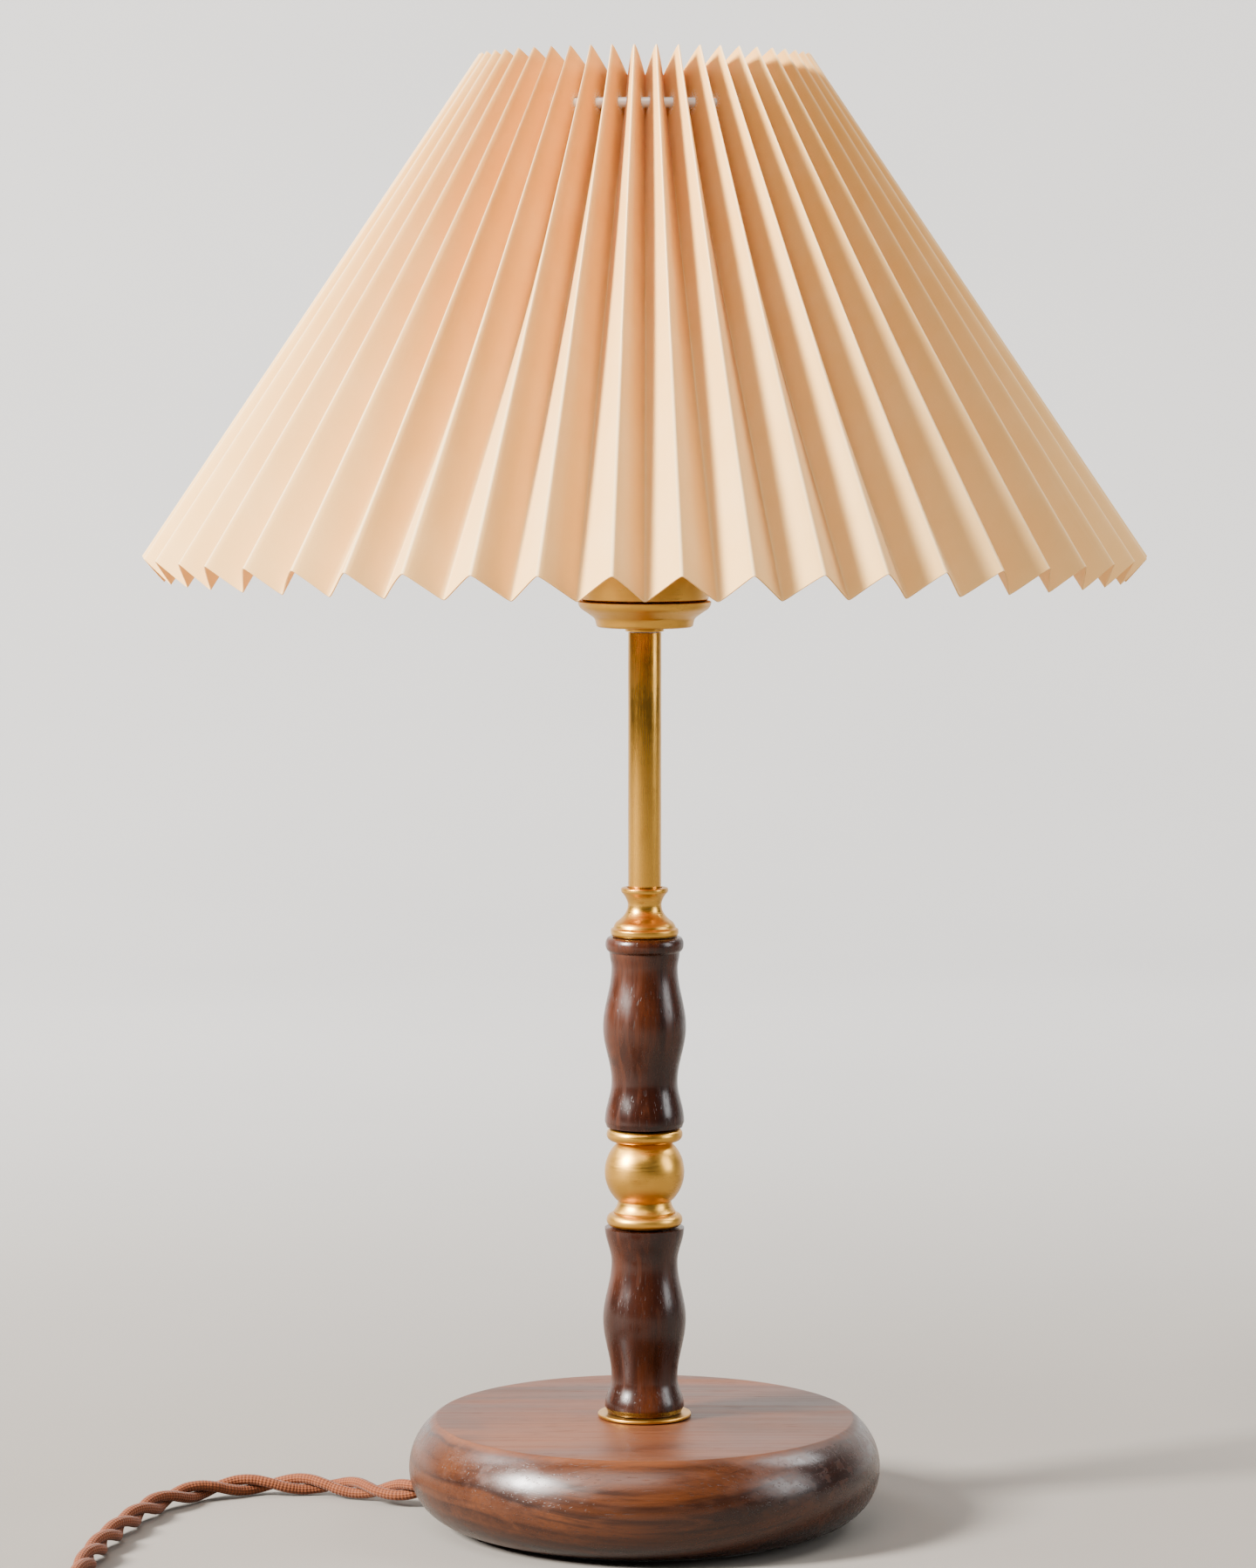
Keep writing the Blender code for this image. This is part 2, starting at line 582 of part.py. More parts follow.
def spindle_outline(height, end_radius, foot_first):
    """A spindle's side from top to bottom: a waist over its foot, a belly, a neck and a head."""
    waist, belly = SPINDLE_WAIST_RADIUS, SPINDLE_BELLY_RADIUS
    if foot_first:
        heights = (0.000, 0.035, 0.185, 0.505, 0.815, 1.000)
        radii = (end_radius - 0.0008, end_radius, waist, belly, waist, end_radius)
    else:
        heights = (0.000, 0.030, 0.240, 0.525, 0.838, 0.920)
        radii = (end_radius - 0.0005, end_radius, waist, belly, waist, waist + 0.0006)
    stations = list(zip((height * share for share in heights), radii))
    return swell(stations, 3)[::-1]


def make_stem():
    ring("threaded_pipe", PIPE_BORE_RADIUS, PIPE_RADIUS, PIPE_TOP_Z - PIPE_Z, STEEL, PIPE_Z)

    lower = spindle_outline(LOWER_SPINDLE_HEIGHT, SPINDLE_END_RADIUS, True)
    turned("lower_spindle", bored(lower), WALNUT, LOWER_SPINDLE_Z)

    bead, bulge = 0.0022, 0.0013  # the roll at the upper spindle's head: half its height, its depth
    neck = SPINDLE_END_RADIUS - 0.0015
    middle = UPPER_SPINDLE_HEIGHT - bead
    roll = [(neck + r, middle + z * bead / bulge) for r, z in arc(0.0, 0.0, bulge, 60, -60, 3)]
    top = [(neck, UPPER_SPINDLE_HEIGHT), *roll]
    upper = top + spindle_outline(UPPER_SPINDLE_HEIGHT, SPINDLE_END_RADIUS, False)
    turned("upper_spindle", bored(upper), WALNUT, UPPER_SPINDLE_Z)

    make_ball_piece()
    make_ferrule()
    ring("stem_tube", TUBE_RADIUS - TUBE_WALL, TUBE_RADIUS, TUBE_LENGTH, BRASS, TUBE_Z)
    rounded_ring(
        "cup_collar", PIPE_HOLE_RADIUS, COLLAR_RADIUS,
        COLLAR_THICKNESS, 0.0004, BRASS, COLLAR_Z,
    )


def make_ball_piece():
    """A brass ball between two rolls, turned from one bar."""
    middle = BALL_PIECE_HEIGHT * 0.553
    neck = math.radians(48)
    ball = arc(0.0, middle, BALL_RADIUS, math.degrees(neck), -math.degrees(neck), 8)
    neck_radius = BALL_RADIUS * math.cos(neck)
    reach = BALL_RADIUS * math.sin(neck)
    top_roll = BALL_PIECE_HEIGHT - (middle + reach)
    low_roll = middle - reach

    def roll(centre_z, half_height):
        bulge = BALL_FLANGE_RADIUS - neck_radius
        return [
            (neck_radius + bulge * max(0.0, math.cos(a)) ** 0.6, centre_z + half_height * math.sin(a))
            for a in (math.radians(d) for d in (65, 22, -22, -65))
        ]

    outline = [(neck_radius + 0.0014, BALL_PIECE_HEIGHT)]
    outline += roll(BALL_PIECE_HEIGHT - top_roll * 0.46, top_roll * 0.46)
    outline += ball
    outline += roll(low_roll * 0.48, low_roll * 0.48)
    outline += [(neck_radius + 0.0014, 0.0)]
    turned("brass_ball", bored(outline), BRASS, BALL_PIECE_Z)


def make_ferrule():
    """The bell-shaped fitting that carries the tube in a socket."""
    top, foot = FERRULE_HEIGHT, FERRULE_FOOT_RADIUS
    neck, rim = FERRULE_NECK_RADIUS, FERRULE_RIM_RADIUS
    socket = TUBE_RADIUS + GAP
    outline = [(rim - 0.0005, top), (rim, top - 0.0006), (rim - 0.0003, top - 0.0014)]
    outline += swell([(top - 0.0050, neck), (top - 0.0022, rim - 0.0009)], 3)[::-1]
    outline += [(neck, top - 0.0072), (neck + 0.0008, top - 0.0086), (neck + 0.0025, top - 0.0103)]
    outline += [(foot - 0.0008, top - 0.0116), (foot - 0.0002, top - 0.0126)]
    outline += [(foot, top - 0.0138), (foot - 0.0004, 0.0)]
    profile = [(socket, top), *outline, (PIPE_HOLE_RADIUS, 0.0)]
    profile += [(PIPE_HOLE_RADIUS, top - FERRULE_SOCKET_DEPTH), (socket, top - FERRULE_SOCKET_DEPTH)]
    ferrule = turned("ferrule", profile, BRASS, FERRULE_Z)
    screw_z = FERRULE_Z + 0.0016
    screw_start = Vector((0, PIPE_RADIUS + GAP, screw_z))
    screw_end = Vector((0, foot - 0.0006, screw_z))
    hole_start = screw_start - Vector((0, 0.001, 0))
    hole_end = screw_end + Vector((0, 0.005, 0))
    combine(ferrule, rod_mesh("grub_hole", hole_start, hole_end, GRUB_RADIUS + GAP))
    grub = rod_mesh("ferrule_grub_screw", screw_start, screw_end, GRUB_RADIUS)
    link("ferrule_grub_screw", grub, STEEL)


# ---------------------------------------------------------------- lampholder
def cup_side(inset):
    """The cup's flare from rim to floor, moved inwards by the inset."""
    floor, rim = CUP_FLOOR_RADIUS, CUP_RIM_RADIUS
    shares = ((1.00, 1.00), (0.86, 0.96), (0.72, 0.82), (0.52, 0.42), (0.34, 0.10), (0.12, 0.00))
    return [(floor + (rim - floor) * across - inset, CUP_HEIGHT * up) for up, across in shares]


def make_cup():
    outside = cup_side(0.0) + [(CUP_FLOOR_RADIUS - 0.0006, 0.0)]
    inside = [point for point in cup_side(CUP_WALL) if point[1] > CUP_WALL + 0.0008][::-1]
    profile = [*outside, (PIPE_HOLE_RADIUS, 0.0), (PIPE_HOLE_RADIUS, CUP_WALL)]
    profile += [(CUP_FLOOR_RADIUS - CUP_WALL - 0.0006, CUP_WALL), *inside]
    turned("socket_cup", profile, BRASS, CUP_Z)


def make_holder_cap():
    """The lower half of the lampholder, with the bush that the pipe screws into."""
    foot, cone = 0.0095, 0.0072
    wall, radius, top = HOLDER_WALL, HOLDER_RADIUS, HOLDER_CAP_HEIGHT
    outside = [(radius, top), (radius, cone), (radius - 0.0012, cone - 0.0010), (radius - 0.0042, 0.0036)]
    outside += [(radius - 0.0072, 0.0009), (foot, 0.0)]
    bush = [(PIPE_HOLE_RADIUS, 0.0), (PIPE_HOLE_RADIUS, 0.0058), (0.0068, 0.0058), (0.0068, wall)]
    inside = [(foot, wall), (radius - 0.0075, wall + 0.0008), (radius - 0.0048, 0.0046)]
    inside += [(radius - wall, cone + 0.0006), (radius - wall, top)]
    turned("holder_cap", outside + bush + inside, BRASS, HOLDER_Z)


def make_holder_skirt():
    """The upper half, threaded outside for the two rings that grip the shade's fitter."""
    radius, inner, top = HOLDER_RADIUS + SKIRT_PROUD, HOLDER_RADIUS - HOLDER_SKIRT_WALL, HOLDER_SKIRT_HEIGHT
    profile = [(inner, top), (radius - 0.0008, top), (radius, top - 0.0008), (radius, 0.0), (inner, 0.0)]
    turned("holder_skirt", profile, BRASS, SEAM_Z)
    for name, z in (("shade_nut_lower", LOWER_NUT_RING_Z), ("shade_nut_upper", UPPER_NUT_RING_Z)):
        rounded_ring(name, radius + SLIDE, NUT_RING_RADIUS, NUT_RING_HEIGHT, 0.0005, BRASS, z)


def make_insulator():
    """The porcelain insert: a floor that carries the contacts and a sleeve round the thread shell."""
    outer = HOLDER_RADIUS - HOLDER_SKIRT_WALL - SLIDE - 0.0004
    sleeve = THREAD_SHELL_RADIUS + THREAD_SHELL_WALL + GAP
    stud = CONTACT_STUD_RADIUS + GAP
    profile = [(sleeve, INSULATOR_HEIGHT), (outer, INSULATOR_HEIGHT), (outer, 0.0), (stud, 0.0)]
    profile += [(stud, INSULATOR_FLOOR), (sleeve, INSULATOR_FLOOR)]
    bottom = HOLDER_Z + INSULATOR_FLOOR_Z
    insulator = turned("holder_insulator", profile, PORCELAIN, bottom)
    shell_z = bottom + INSULATOR_FLOOR + GAP
    ring(
        "thread_shell", THREAD_SHELL_RADIUS, THREAD_SHELL_RADIUS + THREAD_SHELL_WALL,
        THREAD_SHELL_HEIGHT, BRASS, shell_z,
    )
    radius, stud, tail = CONTACT_RADIUS, CONTACT_STUD_RADIUS, -INSULATOR_FLOOR - CONTACT_TAIL
    contact = [(0.0, CONTACT_HEIGHT), (radius - 0.0008, CONTACT_HEIGHT), (radius, CONTACT_HEIGHT - 0.0006)]
    contact += [(radius, 0.0), (stud, 0.0), (stud, tail), (0.0, tail)]
    turned("centre_contact", contact, BRASS, CONTACT_Z, SMALL, closed=False)
    for side, sign in (("left", -1), ("right", 1)):
        x = sign * TERMINAL_AT
        hole_start, hole_end = (x, 0, bottom - 0.01), (x, 0, bottom + TERMINAL_DEPTH)
        combine(insulator, rod_mesh("terminal_hole", hole_start, hole_end, SCREW_HOLE_RADIUS))
        head_z = bottom - GAP - SCREW_HEAD_HEIGHT
        length = SCREW_HEAD_HEIGHT + TERMINAL_DEPTH - 0.0005
        pan_screw(f"terminal_screw_{side}", head_z, length, BRASS, (x, 0))


def make_inner_leads():
    """The cores from the clamp through the pipe to the terminals."""
    bend = 0.0066
    low_z = BASE_Z + GAP + CORES_RADIUS
    clamp_end = CLAMP_AT - CLAMP_LENGTH / 2 - 0.0010
    points = [along_cord(clamp_end, CORD_HOLE_Z), along_cord(clamp_end - 0.005, CORD_HOLE_Z - 0.0006)]
    points += [along_cord(bend + 0.0050, low_z + 0.0004)]
    points += [
        along_cord(bend * (1 - math.sin(a)), low_z + bend * (1 - math.cos(a)))
        for a in (math.radians(d) for d in (0, 15, 30, 45, 60, 75, 90))
    ]
    top_z = PIPE_TOP_Z + 0.0010
    points += [Vector((0, 0, low_z + bend + 0.004)), Vector((0, 0, top_z))]
    tube("inner_lead", points, CORES_RADIUS, CORE)
    hole_end = Vector(SWITCH_ROUTE[0]).xy.length - 2 * GAP
    entry = [along_cord(d, CORD_HOLE_Z) for d in (clamp_end + GAP, CLAMP_AT + 0.012, hole_end)]
    tube("entry_lead", entry, CORD_RADIUS, BRAID)
    screw_z = HOLDER_Z + INSULATOR_FLOOR_Z - GAP - 0.0008
    for name, sign in (("live_wire", -1), ("neutral_wire", 1)):
        start = Vector((sign * 0.0012, 0, top_z + GAP))
        end = Vector((sign * (TERMINAL_AT - SCREW_HEAD_RADIUS - GAP), 0, screw_z))
        rise = Vector((0, 0, 0.35 * (end.z - start.z)))
        knots = [start, start + rise, end.lerp(start, 0.25) + rise * 0.2, end]
        tube(name, smooth_route(knots, 0.0012), 0.0007, CORE, 1)


# ---------------------------------------------------------------- bulb
def make_bulb():
    """A globe bulb: contact button, black glass foot, threaded cap and glass, one above another."""
    button = [(0.0, BULB_BUTTON), (0.0030, BULB_BUTTON), (0.0044, BULB_BUTTON - 0.0005)]
    button += [(0.0030, 0.0), (0.0, 0.0)]
    turned("bulb_contact", button, CAP_METAL, BULB_Z, SMALL, closed=False)

    foot_z = BULB_Z + BULB_BUTTON + GAP
    foot_radius = BULB_CAP_RADIUS - 0.0010
    foot = [(0.0, BULB_FOOT), (foot_radius, BULB_FOOT), (foot_radius, BULB_FOOT - 0.0010)]
    foot += [(0.0060, 0.0), (0.0, 0.0)]
    turned("bulb_insulator", foot, BLACK_GLASS, foot_z, closed=False)

    cap_z = foot_z + BULB_FOOT + GAP
    crest, root = BULB_CAP_RADIUS, BULB_CAP_RADIUS - BULB_THREAD_DEPTH
    inner = root - BULB_CAP_WALL
    turns = 5
    top = BULB_CAP_HEIGHT
    pitch = (top - 0.0050) / turns
    outer = [(root, top), (root, top - 0.0025)]
    for i in range(turns):
        outer += [(crest, top - 0.0035 - i * pitch), (root, top - 0.0035 - (i + 0.5) * pitch)]
    outer.append((root, 0.0))
    turned("bulb_cap", [*outer, (inner, 0.0), (inner, top)], CAP_METAL, cap_z)

    glass_z = cap_z + GAP
    neck = inner - GAP
    pole = BULB_Z + BULB_LENGTH - glass_z
    centre = pole - BULB_RADIUS
    shoulder = -55  # degrees below the globe's equator, where the neck's curve starts
    neck_z = centre - BULB_RADIUS * 1.10

    def side(inset, steps):
        globe = arc(0.0, centre, BULB_RADIUS - inset, 90, shoulder, steps)
        waist = (BULB_NECK_RADIUS + 0.0003 - inset, centre - BULB_RADIUS * 0.94)
        return [(0.0, pole - inset), *globe[1:], waist, (neck - inset, neck_z), (neck - inset, 0.0)]

    outline = side(0.0, 6) + side(BULB_GLASS_WALL, 6)[::-1]
    turned("bulb_glass", outline, GLASS, glass_z, closed=False)


# ---------------------------------------------------------------- shade
def fold_points():
    """The (radius, height) ends of an outer fold and of an inner fold: foot, head."""
    foot_z = SHADE_HEAD_Z - SHADE_RISE
    outer = ((SHADE_FOOT_RADIUS, foot_z), (SHADE_HEAD_RADIUS, SHADE_HEAD_Z))
    inner = (
        (SHADE_FOOT_RADIUS - FOOT_FOLD_DEPTH, foot_z - FOOT_FOLD_DROP),
        (SHADE_HEAD_RADIUS - HEAD_FOLD_DEPTH, SHADE_HEAD_Z - HEAD_FOLD_DROP),
    )
    return outer, inner


def fold_radius(fold, z):
    """How far a fold is from the axis at a height."""
    (r0, z0), (r1, z1) = fold
    return r0 + (r1 - r0) * (z - z0) / (z1 - z0)


def shade_ring_radius():
    outer, inner = fold_points()
    low, high = fold_radius(inner, SHADE_RING_Z), fold_radius(outer, SHADE_RING_Z)
    return low + (high - low) * RING_ACROSS


def pleat_angle(index):
    """The angle of a pleat's outer fold from the front, where an inner fold is."""
    return TURN * (index + 0.5) / PLEATS


def fold_ends(index):
    """The foot and head of a fold, counted round from the front: even ones stand out, odd ones in."""
    outer, inner = fold_points()
    fold = inner if index % 2 else outer
    return [around(pleat_angle(index / 2), r, z) for r, z in fold]


def panel_edge(last_fold, next_fold):
    """A panel's edge, halfway from its last fold to the next panel's first one, less half a gap."""
    edge = []
    for last, following in zip(fold_ends(last_fold), fold_ends(next_fold)):
        across = (following - last).length
        edge.append(last.lerp(following, 0.5 - 0.5 * GAP / across))
    return edge


def make_panel(number):
    """A strip of the pleated sheet, with a hole in each face where the ring runs."""
    folds = 2 * PLEATS // PANELS
    first = (number - 1) * folds + folds // 2
    last = first + folds - 1
    columns = [panel_edge(first, first - 1)]
    columns += [fold_ends(i) for i in range(first, last + 1)]
    columns.append(panel_edge(last, last + 1))

    mesh = bpy.data.meshes.new(f"shade_panel_{number}")
    bm = bmesh.new()
    verts = [
        [bm.verts.new(foot.lerp(head, row / PANEL_ROWS)) for row in range(PANEL_ROWS + 1)]
        for foot, head in columns
    ]
    for left, right in zip(verts, verts[1:]):
        for low, high in zip(range(PANEL_ROWS), range(1, PANEL_ROWS + 1)):
            bm.faces.new((left[low], right[low], right[high]))
            bm.faces.new((left[low], right[high], left[high]))
    bm.to_mesh(mesh)
    bm.free()
    panel = link(mesh.name, mesh, PAPER)
    solidify = panel.modifiers.new("paper", "SOLIDIFY")
    solidify.thickness = SHADE_WALL
    solidify.offset = 0.0
    solidify.use_even_offset = True
    hole = SHADE_RING_WIRE + RING_HOLE_PLAY
    holes = torus_mesh("ring_holes", shade_ring_radius(), hole, 2 * PLEATS, 6)
    combine(panel, holes, at=(0, 0, SHADE_RING_Z))


def torus_mesh(name, major, minor, sides, minor_sides):
    """A torus about Z, made by spinning a circle."""

    def build(bm):
        turn = Matrix.Translation((major, 0, 0)) @ Matrix.Rotation(math.pi / 2, 4, "X")
        circle = bmesh.ops.create_circle(bm, segments=minor_sides, radius=minor, matrix=turn)
        edges = {edge for vert in circle["verts"] for edge in vert.link_edges}
        bmesh.ops.spin(
            bm, geom=list(circle["verts"]) + list(edges), cent=(0, 0, 0), axis=(0, 0, 1),
            angle=TURN, steps=sides, use_merge=True,
        )
        bmesh.ops.remove_doubles(bm, verts=bm.verts, dist=0.000001)

    return primitive_mesh(name, build)


def make_shade_frame():
    """The fitter ring on the lampholder, three arms and the ring threaded through the pleats."""
    bore = HOLDER_RADIUS + SKIRT_PROUD + SLIDE
    ring("fitter_ring", bore, FITTER_RADIUS, FITTER_THICKNESS, WHITE_WIRE, FITTER_Z)
    shade_ring = torus_mesh("shade_ring", shade_ring_radius(), SHADE_RING_WIRE, PLEATS, 8)
    link("shade_ring", shade_ring, WHITE_WIRE, (0, 0, SHADE_RING_Z))
    start_r, start_z = FITTER_RADIUS + GAP, FITTER_Z + FITTER_THICKNESS / 2
    end_r, end_z = shade_ring_radius(), SHADE_RING_Z - SHADE_RING_WIRE - GAP
    across = (0.0, 0.22, 0.47, 0.62, 0.75, 0.90, 1.0)
    up = (0.0, 0.012, 0.085, 0.28, 0.55, 0.83, 1.0)
    side = [(start_r + (end_r - start_r) * a, start_z + (end_z - start_z) * b) for a, b in zip(across, up)]
    for number, index in enumerate(ARM_PLEATS, 1):
        knots = [around(pleat_angle(index), r, z) for r, z in side]
        arm = smooth_route(knots, 0.0070)
        tube(f"shade_arm_{number}", arm, ARM_WIRE, WHITE_WIRE, 1)


# ---------------------------------------------------------------- cord, switch, coil, plug
def make_cord():
    tube("cord_to_switch", smooth_route(SWITCH_ROUTE, 0.0075), CORD_RADIUS, BRAID)
    tube("cord_to_coil", smooth_route(COIL_ROUTE, 0.0070), CORD_RADIUS, BRAID)
    tube("cord_to_plug", smooth_route(PLUG_ROUTE, 0.0070), CORD_RADIUS, BRAID)
    inner, outer, height, soft = COIL_INNER_RADIUS, COIL_OUTER_RADIUS, COIL_HEIGHT, 0.0028
    profile = [(inner + soft, height), (outer - soft, height), (outer, height - soft), (outer, soft)]
    profile += [(outer - soft, 0.0), (inner + soft, 0.0), (inner, soft), (inner, height - soft)]
    coil = turned("cord_coil", profile, BRAID, COIL_FLOOR_Z)
    coil.location = COIL_CENTRE + Vector((0, 0, COIL_FLOOR_Z))
    make_tie()


def make_tie():
    """The strap round the coil, on the side towards the lamp."""
    spot = new_empty("tie_spot", COIL_CENTRE, math.pi / 2)
    half = TIE_WIDTH / 2
    low = Vector((COIL_INNER_RADIUS - TIE_PLAY, -half - 0.01, COIL_FLOOR_Z - GAP))
    high = Vector((COIL_OUTER_RADIUS + GAP, half + 0.01, COIL_FLOOR_Z + COIL_HEIGHT + GAP))
    skin = Vector((TIE_THICKNESS, 0, TIE_THICKNESS))
    strap_low = Vector((low.x, -half, low.z)) - skin
    strap_high = Vector((high.x, half, high.z)) + skin
    tie = link("cord_tie", box_mesh("cord_tie", strap_low, strap_high), BRAID, parent=spot)
    combine(tie, box_mesh("tie_inside", low, high))


def stadium(length, width, steps=6):
    """An outline with round ends, in the XY plane and long in Y."""
    radius = width / 2
    straight = length / 2 - radius
    outline = []
    for sign in (1, -1):
        for i in range(steps + 1):
            a = math.pi * i / steps + (0 if sign > 0 else math.pi)
            outline.append((radius * math.cos(a), sign * straight + radius * math.sin(a)))
    return outline


def stadium_mesh(name, length, width, low_z, high_z, taper=0.0):
    """A block with round ends, whose top may be narrower than its bottom."""

    def build(bm):
        bottom = bm.faces.new([bm.verts.new((x, y, low_z)) for x, y in stadium(length, width)])
        extruded_face = bmesh.ops.extrude_face_region(bm, geom=[bottom])
        moved = [v for v in extruded_face["geom"] if isinstance(v, bmesh.types.BMVert)]
        bmesh.ops.translate(bm, vec=(0, 0, high_z - low_z), verts=moved)
        shrink = Vector((1 - 2 * taper / width, 1 - 2 * taper / length, 1.0))
        bmesh.ops.scale(bm, vec=shrink, verts=moved)

    return primitive_mesh(name, build)


def make_switch():
    """An in-line rocker switch: two shells, the rocker on its pin, and two screws."""
    spot = new_empty("switch_spot", SWITCH_CENTRE)
    seam, wall, top = SWITCH_HEIGHT / 2, SWITCH_WALL, SWITCH_HEIGHT
    length, width = SWITCH_LENGTH, SWITCH_WIDTH
    shell = link("switch_base", stadium_mesh("switch_base", length, width, GAP, seam), BAKELITE, parent=spot)
    cover_mesh = stadium_mesh("switch_cover", length, width, seam + GAP, top, 0.0015)
    cover = link("switch_cover", cover_mesh, BAKELITE, parent=spot)
    inside_length, inside_width = length - 2 * wall - 0.020, width - 2 * wall
    half_x, half_y = inside_width / 2, inside_length / 2
    low, high = (-half_x, -half_y, GAP + wall), (half_x, half_y, seam + 0.01)
    combine(shell, box_mesh("base_hollow", low, high))
    half_x -= 0.001  # the cover's sides lean in
    low, high = (-half_x, -half_y, seam - 0.01), (half_x, half_y, top - wall)
    combine(cover, box_mesh("cover_hollow", low, high))
    make_rocker(cover)
    bore_start, bore_end = (0, -length, SWITCH_CORD_Z), (0, length, SWITCH_CORD_Z)
    bore = rod_mesh("cord_bore", bore_start, bore_end, CORD_RADIUS + GAP)
    combine(shell, bore)
    combine(cover, bore)
    screw_y = inside_length / 2 + 0.0042
    for side, sign in (("near", 1), ("far", -1)):
        x, y = sign * 0.0072, sign * screw_y
        below = (x, y, -0.01)
        combine(shell, rod_mesh("switch_screw_sink", below, (x, y, SWITCH_SINK_Z), SCREW_SINK_RADIUS))
        for piece in (shell, cover):
            above = (x, y, seam + SWITCH_SCREW_BITE)
            combine(piece, rod_mesh("switch_screw_hole", below, above, SCREW_HOLE_RADIUS))
        head_z = SWITCH_SINK_Z - GAP - SCREW_HEAD_HEIGHT
        length = seam + SWITCH_SCREW_BITE - head_z - 0.001
        pan_screw(f"switch_screw_{side}", head_z, length, STEEL, (x, y), spot)


def make_rocker(cover):
    """The rocker, its pin, and the ears and opening that it needs in the cover."""
    pivot_z = SWITCH_HEIGHT - 0.0042
    half = ROCKER_LENGTH / 2
    lift, dip, keel = 0.0046, 0.0031, 0.0040
    radius = math.hypot(half, lift)
    low_angle = math.asin(keel / radius)
    outline = [(-half, lift), (0.0, dip), (half, lift)]
    for i in range(1, 5):
        a = math.atan2(lift, half) - (math.atan2(lift, half) + low_angle) * i / 4
        outline.append((radius * math.cos(a), radius * math.sin(a)))
    outline += [(-y, z) for y, z in outline[6:2:-1]]
    axis_spot = new_empty("rocker_axis", SWITCH_CENTRE + Vector((0, 0, pivot_z)))
    rocker = extruded("switch_rocker", outline, ROCKER_WIDTH, BAKELITE, parent=axis_spot)
    rocker.rotation_euler.x = ROCKER_TILT
    pin_half = ROCKER_WIDTH / 2 + SLIDE + 0.0014
    hole = rod_mesh("rocker_bore", (-0.02, 0, 0), (0.02, 0, 0), ROCKER_PIN_RADIUS + GAP, SMALL)
    combine(rocker, hole)
    pin = rod_mesh("rocker_pin", (-pin_half, 0, 0), (pin_half, 0, 0), ROCKER_PIN_RADIUS)
    link("rocker_pin", pin, STEEL, parent=axis_spot)

    opening_x, opening_y = ROCKER_WIDTH / 2 + SLIDE, radius + SLIDE
    for sign in (-1, 1):
        near, far = sign * opening_x, sign * (opening_x + 0.0016)
        low = Vector((min(near, far), -0.0040, pivot_z - 0.0036))
        high = Vector((max(near, far), 0.0040, SWITCH_HEIGHT - SWITCH_WALL / 2))
        combine(cover, box_mesh("rocker_ear", low, high), "UNION")
    low, high = (-opening_x, -opening_y, pivot_z - 0.001), (opening_x, opening_y, 0.03)
    combine(cover, box_mesh("rocker_opening", low, high))
    bore_half = pin_half + 0.001
    bore_start, bore_end = (-bore_half, 0, pivot_z), (bore_half, 0, pivot_z)
    combine(cover, rod_mesh("pin_bore", bore_start, bore_end, ROCKER_PIN_RADIUS + GAP))


def make_plug():
    """A flat two-pin plug with a tapered sleeve round the cord."""
    spot = new_empty("plug_spot", PLUG_START)
    floor = GAP - PLUG_START.z
    sleeve, length = PLUG_SLEEVE_LENGTH, PLUG_BODY_LENGTH
    half_w = PLUG_WIDTH / 2

    def build(bm):
        outline = ((0.0, 0.30), (0.25, 0.62), (0.62, 0.95), (1.0, 1.0))
        upper = [(sleeve + length * t, half_w * share) for t, share in outline]
        points = upper + [(x, -y) for x, y in reversed(upper)]
        bottom = bm.faces.new([bm.verts.new((x, y, floor)) for x, y in points])
        sides = bmesh.ops.extrude_face_region(bm, geom=[bottom])
        moved = [v for v in sides["geom"] if isinstance(v, bmesh.types.BMVert)]
        bmesh.ops.translate(bm, vec=(0, 0, PLUG_HEIGHT), verts=moved)

    body = link("plug_body", primitive_mesh("plug_body", build), BAKELITE, parent=spot)
    cone = rod_mesh("plug_sleeve", (0, 0, 0), (sleeve + 0.004, 0, 0), CORD_RADIUS + 0.0011, SMALL, 0.0060)
    combine(body, cone, "UNION")
    for side, sign in (("left", 1), ("right", -1)):
        y = sign * PLUG_PIN_SPACING / 2
        start = Vector((sleeve + length - 0.006, y, 0))
        end = Vector((sleeve + length + PLUG_PIN_LENGTH, y, 0))
        socket_start = start - Vector((GAP, 0, 0))
        combine(body, rod_mesh("pin_socket", socket_start, end, PLUG_PIN_RADIUS + GAP))
        pin_mesh = rod_mesh("plug_pin", start, end, PLUG_PIN_RADIUS)
        pin = link(f"plug_pin_{side}", pin_mesh, CAP_METAL, parent=spot)
        add_bevel(pin, 0.0008)


# ---------------------------------------------------------------- the whole lamp
def make_lamp():
    entry = new_empty("cord_entry", turn=CORD_AZIMUTH)
    base = make_base()
    make_weight(base, entry)
    make_clamp(base, entry)
    make_base_fixings()
    make_stem()
    make_cup()
    make_holder_cap()
    make_holder_skirt()
    make_insulator()
    make_inner_leads()
    make_bulb()
    make_shade_frame()
    for number in range(1, PANELS + 1):
        make_panel(number)
    make_cord()
    make_switch()
    make_plug()


make_lamp()
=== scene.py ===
"""A table lamp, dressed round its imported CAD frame.

Turned walnut and brass are stacked on a threaded pipe under a pleated shade, and a twisted textile
cord leads to an in-line switch and a plug. Metres, +Z up, and the front faces -Y.
"""

import json
import logging
import math
from collections.abc import Callable, Iterable, Sequence
from dataclasses import dataclass
from enum import Enum
from typing import Any

